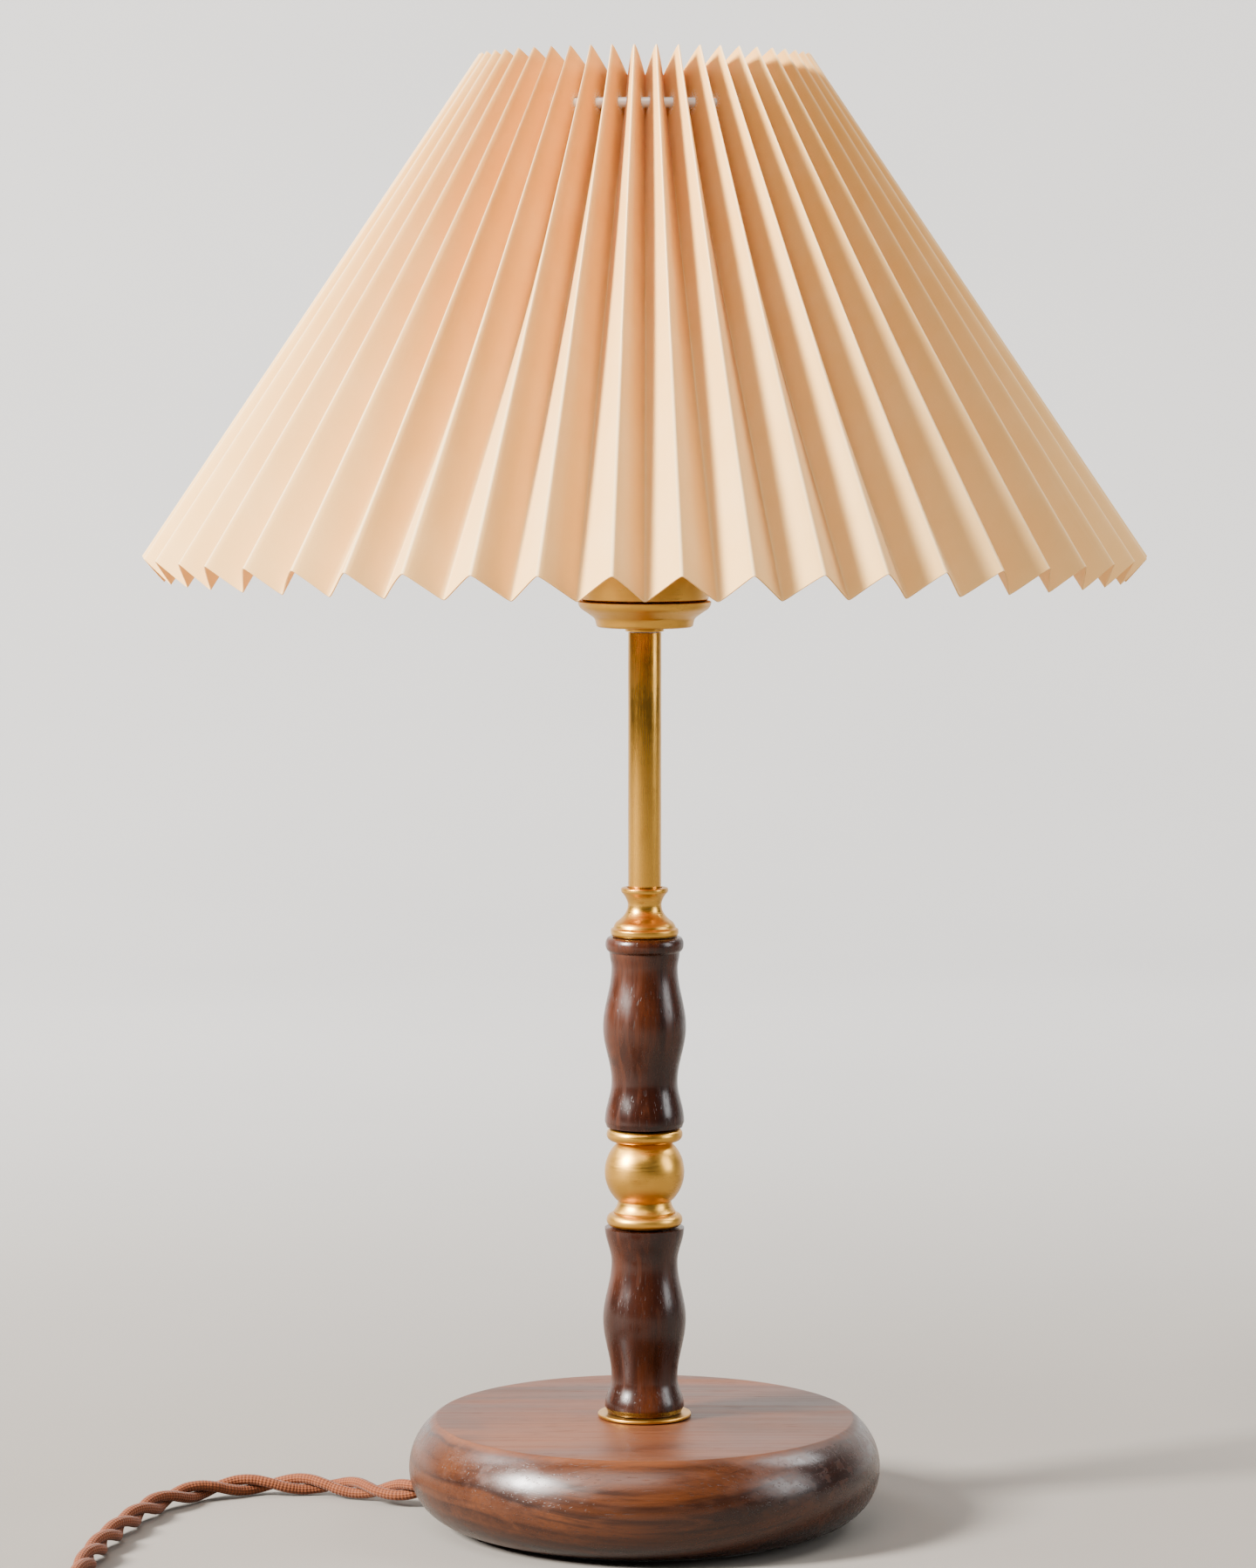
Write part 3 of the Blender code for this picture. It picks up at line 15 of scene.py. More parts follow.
import bmesh
import bpy
import numpy as np
from mathutils import Matrix, Vector
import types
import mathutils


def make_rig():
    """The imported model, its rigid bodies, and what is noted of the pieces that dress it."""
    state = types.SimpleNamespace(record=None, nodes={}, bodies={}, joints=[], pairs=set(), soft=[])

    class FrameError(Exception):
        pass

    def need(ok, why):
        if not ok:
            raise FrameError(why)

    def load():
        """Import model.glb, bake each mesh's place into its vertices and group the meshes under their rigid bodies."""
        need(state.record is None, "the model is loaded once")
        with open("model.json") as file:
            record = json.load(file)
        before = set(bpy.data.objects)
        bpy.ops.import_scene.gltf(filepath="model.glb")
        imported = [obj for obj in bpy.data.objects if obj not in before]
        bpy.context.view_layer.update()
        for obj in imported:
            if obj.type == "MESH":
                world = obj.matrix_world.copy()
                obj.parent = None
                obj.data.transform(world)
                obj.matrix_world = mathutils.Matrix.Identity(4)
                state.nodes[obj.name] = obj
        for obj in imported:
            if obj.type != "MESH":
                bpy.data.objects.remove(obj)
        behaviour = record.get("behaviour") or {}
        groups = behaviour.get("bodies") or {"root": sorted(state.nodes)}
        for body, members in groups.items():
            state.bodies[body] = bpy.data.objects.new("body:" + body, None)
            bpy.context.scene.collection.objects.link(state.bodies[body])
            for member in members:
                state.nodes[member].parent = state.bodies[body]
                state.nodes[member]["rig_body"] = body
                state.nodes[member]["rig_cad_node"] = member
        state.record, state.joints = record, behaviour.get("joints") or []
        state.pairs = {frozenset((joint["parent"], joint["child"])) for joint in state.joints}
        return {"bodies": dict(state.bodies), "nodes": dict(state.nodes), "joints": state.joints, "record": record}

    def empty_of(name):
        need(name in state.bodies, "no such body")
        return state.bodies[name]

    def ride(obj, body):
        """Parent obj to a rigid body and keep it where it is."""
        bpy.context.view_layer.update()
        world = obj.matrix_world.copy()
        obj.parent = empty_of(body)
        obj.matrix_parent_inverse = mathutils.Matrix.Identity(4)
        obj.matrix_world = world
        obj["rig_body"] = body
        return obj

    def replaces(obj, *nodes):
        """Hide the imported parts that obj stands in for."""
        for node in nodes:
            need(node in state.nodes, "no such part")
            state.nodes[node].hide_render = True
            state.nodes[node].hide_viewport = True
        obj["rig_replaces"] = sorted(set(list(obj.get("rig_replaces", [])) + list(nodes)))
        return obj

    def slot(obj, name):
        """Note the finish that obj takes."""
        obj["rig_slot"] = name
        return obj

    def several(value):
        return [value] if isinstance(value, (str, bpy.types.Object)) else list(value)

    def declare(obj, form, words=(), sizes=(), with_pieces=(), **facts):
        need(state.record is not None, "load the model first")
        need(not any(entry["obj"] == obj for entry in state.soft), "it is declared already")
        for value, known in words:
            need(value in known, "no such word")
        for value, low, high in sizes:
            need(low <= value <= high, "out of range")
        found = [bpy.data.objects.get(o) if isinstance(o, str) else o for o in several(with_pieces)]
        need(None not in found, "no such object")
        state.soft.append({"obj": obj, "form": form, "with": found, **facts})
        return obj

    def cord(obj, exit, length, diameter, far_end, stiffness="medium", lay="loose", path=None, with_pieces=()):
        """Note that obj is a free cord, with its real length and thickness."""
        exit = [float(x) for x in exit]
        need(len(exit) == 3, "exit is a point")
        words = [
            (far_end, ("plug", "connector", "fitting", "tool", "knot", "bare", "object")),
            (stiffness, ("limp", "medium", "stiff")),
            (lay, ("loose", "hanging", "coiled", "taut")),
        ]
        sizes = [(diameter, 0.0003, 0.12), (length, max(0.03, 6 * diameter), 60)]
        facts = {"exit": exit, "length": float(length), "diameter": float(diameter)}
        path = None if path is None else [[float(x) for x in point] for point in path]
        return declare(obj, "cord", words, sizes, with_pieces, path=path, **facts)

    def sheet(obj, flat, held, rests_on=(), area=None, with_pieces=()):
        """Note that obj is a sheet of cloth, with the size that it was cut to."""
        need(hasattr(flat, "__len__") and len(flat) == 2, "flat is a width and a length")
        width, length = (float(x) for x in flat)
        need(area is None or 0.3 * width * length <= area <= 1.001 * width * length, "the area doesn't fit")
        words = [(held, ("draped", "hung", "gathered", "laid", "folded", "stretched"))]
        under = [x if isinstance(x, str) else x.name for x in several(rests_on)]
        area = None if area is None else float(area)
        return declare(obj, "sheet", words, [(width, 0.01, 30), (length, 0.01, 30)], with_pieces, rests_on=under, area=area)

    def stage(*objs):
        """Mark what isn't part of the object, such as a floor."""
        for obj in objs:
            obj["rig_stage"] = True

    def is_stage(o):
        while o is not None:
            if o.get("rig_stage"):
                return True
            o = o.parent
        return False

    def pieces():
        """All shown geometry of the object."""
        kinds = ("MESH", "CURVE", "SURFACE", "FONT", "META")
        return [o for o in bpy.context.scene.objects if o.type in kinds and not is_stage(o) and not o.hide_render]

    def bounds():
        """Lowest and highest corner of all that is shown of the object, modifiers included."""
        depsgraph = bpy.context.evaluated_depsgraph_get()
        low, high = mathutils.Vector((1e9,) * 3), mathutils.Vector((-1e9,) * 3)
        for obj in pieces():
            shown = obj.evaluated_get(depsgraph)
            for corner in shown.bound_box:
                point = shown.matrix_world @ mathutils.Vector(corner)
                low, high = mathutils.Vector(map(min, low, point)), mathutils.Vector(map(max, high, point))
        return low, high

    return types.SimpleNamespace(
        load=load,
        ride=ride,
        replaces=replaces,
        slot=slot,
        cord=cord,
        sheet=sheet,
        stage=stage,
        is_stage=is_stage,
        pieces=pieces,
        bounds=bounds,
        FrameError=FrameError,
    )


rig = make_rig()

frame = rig.load()
CAD_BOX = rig.bounds()

LOG = logging.getLogger("lamp")
TURN = 2 * math.pi
MM = 0.001
Outline = list[tuple[float, float]]  # (radius, height) points, or (across, up) ones


class Body(Enum):
    """The bodies that pieces ride on."""

    LAMP = "lamp"
    SHADE = "shade"
    LIFT = "bulb_lift"
    BULB = "bulb"
    ROCKER = "rocker"


class Slot(Enum):
    """The record's material slots."""

    WALNUT = "walnut"
    BRASS = "brass"
    STEEL = "zinc_steel"
    IRON = "cast_weight"
    FELT = "felt"
    NYLON = "nylon"
    PORCELAIN = "porcelain"
    PAPER = "shade_paper"
    ENAMEL = "white_wire"
    OPAL = "opal_glass"
    NICKEL = "nickel"
    BLACK_GLASS = "black_glass"
    BRAID = "cord_braid"
    SLEEVE = "core_sleeve"
    BAKELITE = "brown_plastic"


# ---------------------------------------------------------------- node trees
class Tree:
    """A node tree that is written as calls, each of which returns a socket."""

    def __init__(self, tree: bpy.types.NodeTree) -> None:
        """Starts on an empty tree."""
        self.tree = tree
        tree.nodes.clear()

    def add(self, kind: str, inputs: dict[Any, Any] | None = None, **settings: Any) -> bpy.types.Node:
        """Adds a node.

        Args:
            kind: the node's type.
            inputs: a value or a socket for each input, by name or index.
            settings: the node's own properties.

        Returns:
            The node.
        """
        node = self.tree.nodes.new(kind)
        for name, value in settings.items():
            setattr(node, name, value)
        for key, value in (inputs or {}).items():
            if isinstance(value, bpy.types.NodeSocket):
                self.tree.links.new(value, node.inputs[key])
            else:
                node.inputs[key].default_value = value
        return node

    def math(self, operation: str, *values: Any, clamp: bool = False) -> bpy.types.NodeSocket:
        """One step of arithmetic on numbers or sockets."""
        inputs = dict(enumerate(values))
        return self.add("ShaderNodeMath", inputs, operation=operation, use_clamp=clamp).outputs[0]

    def vector_math(self, operation: str, *values: Any) -> bpy.types.NodeSocket:
        """One step of arithmetic on vectors."""
        node = self.add("ShaderNodeVectorMath", dict(enumerate(values)), operation=operation)
        return node.outputs["Value" if operation in ("LENGTH", "DOT_PRODUCT") else "Vector"]

    def scaled(self, vector: Any, by: Any) -> bpy.types.NodeSocket:
        """A vector times a number."""
        node = self.add("ShaderNodeVectorMath", {0: vector, "Scale": by}, operation="SCALE")
        return node.outputs["Vector"]

    def parts(self, vector: Any) -> Sequence[bpy.types.NodeSocket]:
        """A vector's X, Y and Z."""
        return self.add("ShaderNodeSeparateXYZ", {0: vector}).outputs

    def vector(self, x: Any = 0.0, y: Any = 0.0, z: Any = 0.0) -> bpy.types.NodeSocket:
        """A vector from its X, Y and Z."""
        return self.add("ShaderNodeCombineXYZ", {0: x, 1: y, 2: z}).outputs[0]

    def noise(self, vector: Any, scale: float, detail: float = 3.0, roughness: float = 0.55,
              distortion: float = 0.0) -> bpy.types.NodeSocket:
        """Smooth noise, about 0.5."""
        inputs = {"Vector": vector, "Scale": scale, "Detail": detail,
                  "Roughness": roughness, "Distortion": distortion}
        return self.add("ShaderNodeTexNoise", inputs).outputs["Fac"]

    def between(self, value: Any, low: float, high: float, to_low: float = 0.0,
                to_high: float = 1.0) -> bpy.types.NodeSocket:
        """A value mapped smoothly from one range to another, and held at its ends."""
        inputs = {"Value": value, "From Min": low, "From Max": high, "To Min": to_low, "To Max": to_high}
        return self.add("ShaderNodeMapRange", inputs, interpolation_type="SMOOTHSTEP").outputs[0]


class Paint(Tree):
    """A material's node tree."""

    def __init__(self, name: str) -> None:
        """Starts a material with nothing in it."""
        self.result = bpy.data.materials.new(name)
        self.result.use_nodes = True
        super().__init__(self.result.node_tree)

    def place(self, stretch: Sequence[float] = (1, 1, 1), turn: Sequence[float] = (0, 0, 0),
              shift: Sequence[float] = (0, 0, 0)) -> bpy.types.NodeSocket:
        """Object coordinates, turned (degrees), stretched and shifted."""
        coordinates = self.add("ShaderNodeTexCoord").outputs["Object"]
        if any(turn):
            spun = self.add("ShaderNodeMapping", {"Vector": coordinates,
                                                  "Rotation": [math.radians(a) for a in turn]})
            coordinates = spun.outputs[0]
        inputs = {"Vector": coordinates, "Scale": stretch, "Location": shift}
        return self.add("ShaderNodeMapping", inputs).outputs[0]

    def mix(self, share: Any, first: Any, second: Any, how: str = "MIX") -> bpy.types.NodeSocket:
        """Two colours mixed by a share."""
        colours = [(*c, 1.0) if isinstance(c, tuple) and len(c) == 3 else c for c in (first, second)]
        node = self.add("ShaderNodeMix", {0: share, 6: colours[0], 7: colours[1]},
                        data_type="RGBA", blend_type=how, clamp_factor=True)
        return node.outputs[2]

    def bump(self, height: Any, depth: float, strength: float = 1.0,
             over: Any = None) -> bpy.types.NodeSocket:
        """A surface relief of the given depth, over another relief."""
        inputs = {"Height": height, "Distance": depth, "Strength": strength}
        if over is not None:
            inputs["Normal"] = over
        return self.add("ShaderNodeBump", inputs).outputs[0]

    def surface(self, **inputs: Any) -> bpy.types.NodeSocket:
        """The Principled shader, with its inputs' names in snake case."""
        named = {}
        for key, value in inputs.items():
            socket = key.replace("_", " ").title().replace("Ior", "IOR")
            named[socket] = (*value, 1.0) if isinstance(value, tuple) and len(value) == 3 \
                and socket != "Subsurface Radius" else value
        return self.add("ShaderNodeBsdfPrincipled", named).outputs[0]

    def done(self, shader: bpy.types.NodeSocket) -> bpy.types.Material:
        """Ends the tree in its shader and returns the material."""
        self.add("ShaderNodeOutputMaterial", {"Surface": shader})
        return self.result


class Shaper(Tree):
    """A Geometry Nodes tree that is used once and baked to a mesh."""

    def __init__(self, name: str) -> None:
        """Starts a tree with a geometry in and out."""
        self.group = bpy.data.node_groups.new(name, "GeometryNodeTree")
        super().__init__(self.group)
        self.group.interface.new_socket("Geometry", in_out="INPUT", socket_type="NodeSocketGeometry")
        self.group.interface.new_socket("Geometry", in_out="OUTPUT", socket_type="NodeSocketGeometry")
        self.entry = self.add("NodeGroupInput")
        self.values: dict[str, Any] = {}

    def size(self, name: str, value: Any) -> bpy.types.NodeSocket:
        """A named input of the tree, whose kind follows from its value."""
        kinds = {bool: "Bool", int: "Int", float: "Float", tuple: "Vector", bpy.types.Material: "Material"}
        socket = self.group.interface.new_socket(
            name, in_out="INPUT", socket_type="NodeSocket" + kinds[type(value)])
        self.values[socket.identifier] = value
        return self.entry.outputs[name]

    def bake(self, name: str, source: bpy.types.ID | None, geometry: bpy.types.NodeSocket,
             material: bpy.types.NodeSocket) -> bpy.types.Object:
        """Ends the tree and turns its result into a plain mesh.

        Args:
            name: the piece's name.
            source: the mesh or curve that the tree works on, or None.
            geometry: what the tree has made.
            material: the socket of the finish.

        Returns:
            A mesh object at the origin with no modifiers.
        """
        real = self.add("GeometryNodeRealizeInstances", {0: geometry}).outputs[0]
        dressed = self.add("GeometryNodeSetMaterial", {"Geometry": real, "Material": material})
        self.add("NodeGroupOutput", {0: dressed.outputs[0]})
        carrier = bpy.data.objects.new(name + "_tree", source or bpy.data.meshes.new(name + "_seed"))
        bpy.context.scene.collection.objects.link(carrier)
        modifier = carrier.modifiers.new("shape", "NODES")
        modifier.node_group = self.group
        for identifier, value in self.values.items():
            modifier[identifier] = value
        graph = bpy.context.evaluated_depsgraph_get()
        mesh = bpy.data.meshes.new_from_object(carrier.evaluated_get(graph))
        carrier.modifiers.remove(modifier)
        bpy.data.objects.remove(carrier)
        return linked(name, mesh)


# ---------------------------------------------------------------- finishes
@dataclass(frozen=True)
class Walnut:
    """Oiled and waxed walnut, sawn from a log whose rings lie round the grain.

    Attributes:
        turn: degrees that bring the grain onto local Z.
        pith: where the log's middle is across the grain, in metres.
        dark, mid, light: the wood's tones.
        rough: how matte the wax is.
        figure: how strongly the rings show.
        ring: how many rings a metre of the log holds.
        flat: the height over which a sanded flat takes over from the waxed side, or None; the flat is also painted
            lighter as if lit, and the side darker as painted shade.
    """

    name: str
    turn: tuple[float, float, float] = (0.0, 0.0, 0.0)
    pith: tuple[float, float, float] = (0.045, 0.020, 0.0)
    dark: tuple[float, float, float] = (0.0070, 0.0017, 0.0008)
    mid: tuple[float, float, float] = (0.0170, 0.0032, 0.0008)
    light: tuple[float, float, float] = (0.0660, 0.0150, 0.0030)
    rough: float = 0.27
    figure: float = 0.62
    ring: float = 170.0
    flat: tuple[float, float] | None = None

    def make(self) -> bpy.types.Material:
        """The material."""
        p = Paint(self.name)
        drift = p.noise(p.place((1, 1, 0.22), self.turn), 16, 2)
        across = p.place((1, 1, 0.10), self.turn, self.pith)
        wander = p.scaled(p.vector(drift, drift, 0.0), 0.020)
        x, y, z = p.parts(p.vector_math("ADD", across, wander))
        depth = p.vector_math("LENGTH", p.vector(x, y))
        year = p.vector(depth, p.math("MULTIPLY", z, 0.35))
        bands = p.noise(year, self.ring, 2, 0.5)
        lines = p.noise(year, self.ring * 4.3, 3, 0.62)
        cloud = p.noise(p.place((1, 1, 0.30), self.turn), 38, 3)
        fibre = p.noise(p.place((1, 1, 0.030), self.turn), 1050, 3, 0.65)
        streak = p.noise(p.place((1, 1, 0.020), self.turn), 420, 2, 0.5)
        pore_noise = p.noise(p.place((1, 1, 0.055), self.turn), 2300, 1, 0.4)
        pores = p.math("MULTIPLY", p.between(pore_noise, 0.63, 0.72), p.between(lines, 0.62, 0.40))

        tone = p.mix(p.between(cloud, 0.32, 0.72), self.mid, self.light)
        tone = p.mix(p.between(bands, 0.44, 0.64, 0.0, self.figure), tone, self.dark)
        tone = p.mix(p.between(lines, 0.50, 0.70, 0.0, self.figure * 0.75), tone, self.dark)
        tone = p.mix(p.between(streak, 0.50, 0.74, 0.0, 0.42), tone, self.light)
        tone = p.mix(p.between(fibre, 0.42, 0.75, 0.0, 0.38), tone, self.dark)
        tone = p.mix(p.math("MULTIPLY", pores, 0.55), tone, (0.008, 0.0026, 0.0015))
        relief = p.math("SUBTRACT", p.math("MULTIPLY", fibre, 0.30), pores)
        normal = p.bump(relief, 0.00005, 0.6)
        matte = p.math("ADD", p.between(cloud, 0.2, 0.8, self.rough - 0.05, self.rough + 0.07),
                       p.math("ADD", p.math("MULTIPLY", pores, 0.20), p.between(streak, 0.4, 0.7, -0.03, 0.05)))
        if self.flat is not None:
            height = p.parts(p.place())[2]
            # the flat top's mask: the flat is more matte, and the same mask paints light on the top and shade on the
            # side
            sanded_and_lit_top = p.between(height, *self.flat)
            matte = p.math("MULTIPLY_ADD", sanded_and_lit_top, 0.16, matte)
            # painted light and shade: the side is darkened towards the dark tone, and the top is lightened towards a
            # lit tone
            tone = p.mix(sanded_and_lit_top, p.mix(0.36, tone, self.dark), p.mix(0.08, tone, (0.30, 0.085, 0.018)))
        return p.done(p.surface(
            base_color=tone, roughness=matte, normal=normal, specular_ior_level=0.40))


@dataclass(frozen=True)
class Brass:
    """Satin brass with turning marks across its axis, or drawing marks along it.

    Attributes:
        marks: how far the fine marks are stretched on each axis.
        tone: the metal's colour.
        rough: how satin it is.
        depth: how deep the marks are.
    """

    name: str
    marks: tuple[float, float, float] = (0.04, 0.04, 1.0)
    tone: tuple[float, float, float] = (0.60, 0.315, 0.052)
    rough: float = 0.33
    depth: float = 0.000006

    def make(self) -> bpy.types.Material:
        """The material."""
        p = Paint(self.name)
        cloud = p.noise(p.place(), 70, 3)
        stain = p.noise(p.place((1, 1, 0.5)), 260, 4, 0.65)
        marks = p.noise(p.place(self.marks), 5200, 2, 0.6)
        deep = p.between(p.noise(p.place(self.marks), 1400, 1), 0.66, 0.74)
        dulled = tuple(c * d for c, d in zip(self.tone, (0.72, 0.66, 0.58)))
        tone = p.mix(p.between(stain, 0.50, 0.80, 0.0, 0.35), self.tone, dulled)
        tone = p.mix(p.math("MULTIPLY", deep, 0.18), tone, dulled)
        matte = p.math("ADD", p.between(cloud, 0.25, 0.75, self.rough - 0.05, self.rough + 0.07),
                       p.between(marks, 0.30, 0.75, -0.04, 0.07))
        relief = p.math("SUBTRACT", marks, p.math("MULTIPLY", deep, 0.5))
        return p.done(p.surface(
            base_color=tone, metallic=1.0, roughness=matte,
            normal=p.bump(relief, self.depth, 0.8)))


@dataclass(frozen=True)
class PleatedSheet:
    """Lined paper cloth for the shade: paler along its folds as creased paper and painted highlight, deepening in
    painted shade towards its head, and letting some light through.

    Attributes:
        face: a face's width on the flat sheet, which the UV map measures in metres.
        ring_up: how far up the sheet the ring's holes are.
        ring_in: how far they are from an inner fold.
    """

    name: str
    face: float
    ring_up: float
    ring_in: float
    tone: tuple[float, float, float] = (0.870, 0.555, 0.200)
    pale: tuple[float, float, float] = (0.930, 0.690, 0.350)
    # painted shade: the deeper tone the sheet takes towards its head, where light bounces between the crowded folds
    deep: tuple[float, float, float] = (0.850, 0.470, 0.115)

    def make(self) -> bpy.types.Material:
        """The material."""
        p = Paint(self.name)
        flat = p.add("ShaderNodeUVMap", uv_map="Flat").outputs[0]
        across, up, _ = p.parts(flat)
        from_inner = p.math("PINGPONG", across, self.face)
        from_outer = p.math("SUBTRACT", self.face, from_inner)
        # paler along both folds: creased paper, partly a painted highlight
        crease_and_highlight = p.between(p.math("MINIMUM", from_outer, from_inner), 0.00035, 0.0011, 1.0, 0.0)
        # painted highlight along the outer folds' edges
        outer_fold_highlight = p.between(from_outer, 0.0002, 0.0008, 1.0, 0.0)
        mottle = p.noise(flat, 55, 4, 0.6)
        weave_x = p.math("SINE", p.math("MULTIPLY", across, TURN / (0.42 * MM)))
        weave_y = p.math("SINE", p.math("MULTIPLY", up, TURN / (0.46 * MM)))
        fibre = p.noise(p.vector_math("MULTIPLY", flat, (1.0, 0.22, 1.0)), 2600, 3, 0.6)
        slub = p.between(p.noise(p.vector_math("MULTIPLY", flat, (1.0, 0.02, 1.0)), 900, 1), 0.62, 0.80)

        hole_x = p.math("SUBTRACT", from_inner, self.ring_in)
        hole_y = p.math("SUBTRACT", up, self.ring_up)
        hole = p.vector_math("LENGTH", p.vector(hole_x, hole_y))
        ray = p.noise(p.scaled(p.vector(hole_x, hole_y), 1.0), 1500, 2)
        bruise = p.math("MULTIPLY", p.between(hole, 0.0018, 0.0042, 1.0, 0.0), p.between(ray, 0.40, 0.62))

        # painted shade: the sheet deepens in tone towards the head
        tone = p.mix(p.between(up, 0.02, 0.17), self.tone, self.deep)
        tone = p.mix(p.between(mottle, 0.30, 0.75, 0.0, 0.22), tone, self.pale)
        tone = p.mix(p.math("MULTIPLY", slub, 0.10), tone, self.pale)
        # painted highlight on the folds: paler along both, brightest along the outer edges
        tone = p.mix(p.math("MULTIPLY", crease_and_highlight, 0.35), tone, self.pale)
        tone = p.mix(p.math("MULTIPLY", outer_fold_highlight, 0.45), tone, (0.96, 0.74, 0.42))
        tone = p.mix(p.math("MULTIPLY", bruise, 0.75), tone, (0.97, 0.86, 0.66))
        weave = p.math("MULTIPLY", p.math("MULTIPLY", weave_x, weave_y), 0.35)
        relief = p.math("ADD", p.math("ADD", weave, fibre), p.math("MULTIPLY", crease_and_highlight, 0.6))
        normal = p.bump(relief, 0.00004, 0.55)
        front = p.surface(base_color=tone, roughness=0.78, normal=normal,
                          specular_ior_level=0.25, sheen_weight=0.12, sheen_roughness=0.5)
        through = p.add("ShaderNodeBsdfTranslucent", {"Color": tone, "Normal": normal}).outputs[0]
        return p.done(p.add("ShaderNodeMixShader", {0: 0.30, 1: front, 2: through}).outputs[0])


@dataclass(frozen=True)
class Braid:
    """Rayon braid round a strand, read from the strand's own measures, with light and shade painted on its weave."""

    name: str
    tone: tuple[float, float, float] = (0.085, 0.0190, 0.0055)
    # the colour the braid's crossings are painted, a painted highlight
    light: tuple[float, float, float] = (0.190, 0.0540, 0.0160)
    carriers: int = 12
    pick: float = 0.0021  # length of one crossing along the strand

    def make(self) -> bpy.types.Material:
        """The material."""
        p = Paint(self.name)
        along = p.add("ShaderNodeAttribute", attribute_name="along").outputs["Fac"]
        ring = p.parts(p.add("ShaderNodeAttribute", attribute_name="ring").outputs["Vector"])
        angle = p.math("ARCTAN2", ring[1], ring[0])
        turns = p.math("MULTIPLY", angle, float(self.carriers // 2))
        run = p.math("MULTIPLY", along, TURN / self.pick)
        left = p.math("SINE", p.math("ADD", turns, run))
        right = p.math("SINE", p.math("SUBTRACT", turns, run))
        over = p.math("MULTIPLY", left, right)
        thread = p.noise(p.place(), 3800, 3, 0.7)
        cloud = p.noise(p.place(), 120, 3)
        fuzz = p.noise(p.place(), 9000, 1)
        # painted light and shade on the weave: crossings are painted lighter, and the gaps between them are painted
        # dark as shade
        tone = p.mix(p.between(over, -0.7, 0.9), self.tone, self.light)
        tone = p.mix(p.between(over, -1.0, -0.35, 0.75, 0.0), tone, (0.022, 0.0060, 0.0025))
        tone = p.mix(p.between(thread, 0.35, 0.75, 0.0, 0.40), tone, (0.250, 0.078, 0.026))
        tone = p.mix(p.between(cloud, 0.35, 0.70, 0.0, 0.30), tone, self.tone)
        relief = p.math("ADD", p.math("MULTIPLY", over, 0.8),
                        p.math("ADD", p.math("MULTIPLY", thread, 0.5), p.math("MULTIPLY", fuzz, 0.15)))
        return p.done(p.surface(
            base_color=tone, roughness=0.72, normal=p.bump(relief, 0.00016, 0.85),
            sheen_weight=0.10, sheen_roughness=0.4, specular_ior_level=0.2))


@dataclass(frozen=True)
class Plain:
    """A finish that is one substance all through, with its own grain, mottle and gloss.

    Attributes:
        tone: its main colour.
        other: the colour that it drifts to.
        drift: how much of the other colour shows.
        rough: its lowest and highest roughness.
        metal: whether it is a metal.
        grain: the relief's scale, and its depth in metres.
        shader: further inputs of the Principled shader.
    """

    name: str
    tone: tuple[float, float, float]
    other: tuple[float, float, float]
    drift: float = 0.4
    rough: tuple[float, float] = (0.3, 0.4)
    metal: bool = False
    grain: tuple[float, float] = (1500.0, 0.00002)
    stretch: tuple[float, float, float] = (1.0, 1.0, 1.0)
    mottle: float = 90.0
    shader: tuple[tuple[str, Any], ...] = ()

    def make(self) -> bpy.types.Material:
        """The material."""
        p = Paint(self.name)
        cloud = p.noise(p.place(), self.mottle, 4, 0.6)
        fine = p.noise(p.place(self.stretch), self.grain[0], 3, 0.6)
        tone = p.mix(p.between(cloud, 0.35, 0.70, 0.0, self.drift), self.tone, self.other)
        tone = p.mix(p.between(fine, 0.55, 0.80, 0.0, self.drift * 0.5), tone, self.other)
        matte = p.between(cloud, 0.25, 0.75, *self.rough)
        return p.done(p.surface(
            base_color=tone, roughness=matte, metallic=float(self.metal),
            normal=p.bump(fine, self.grain[1], 0.7), **dict(self.shader)))


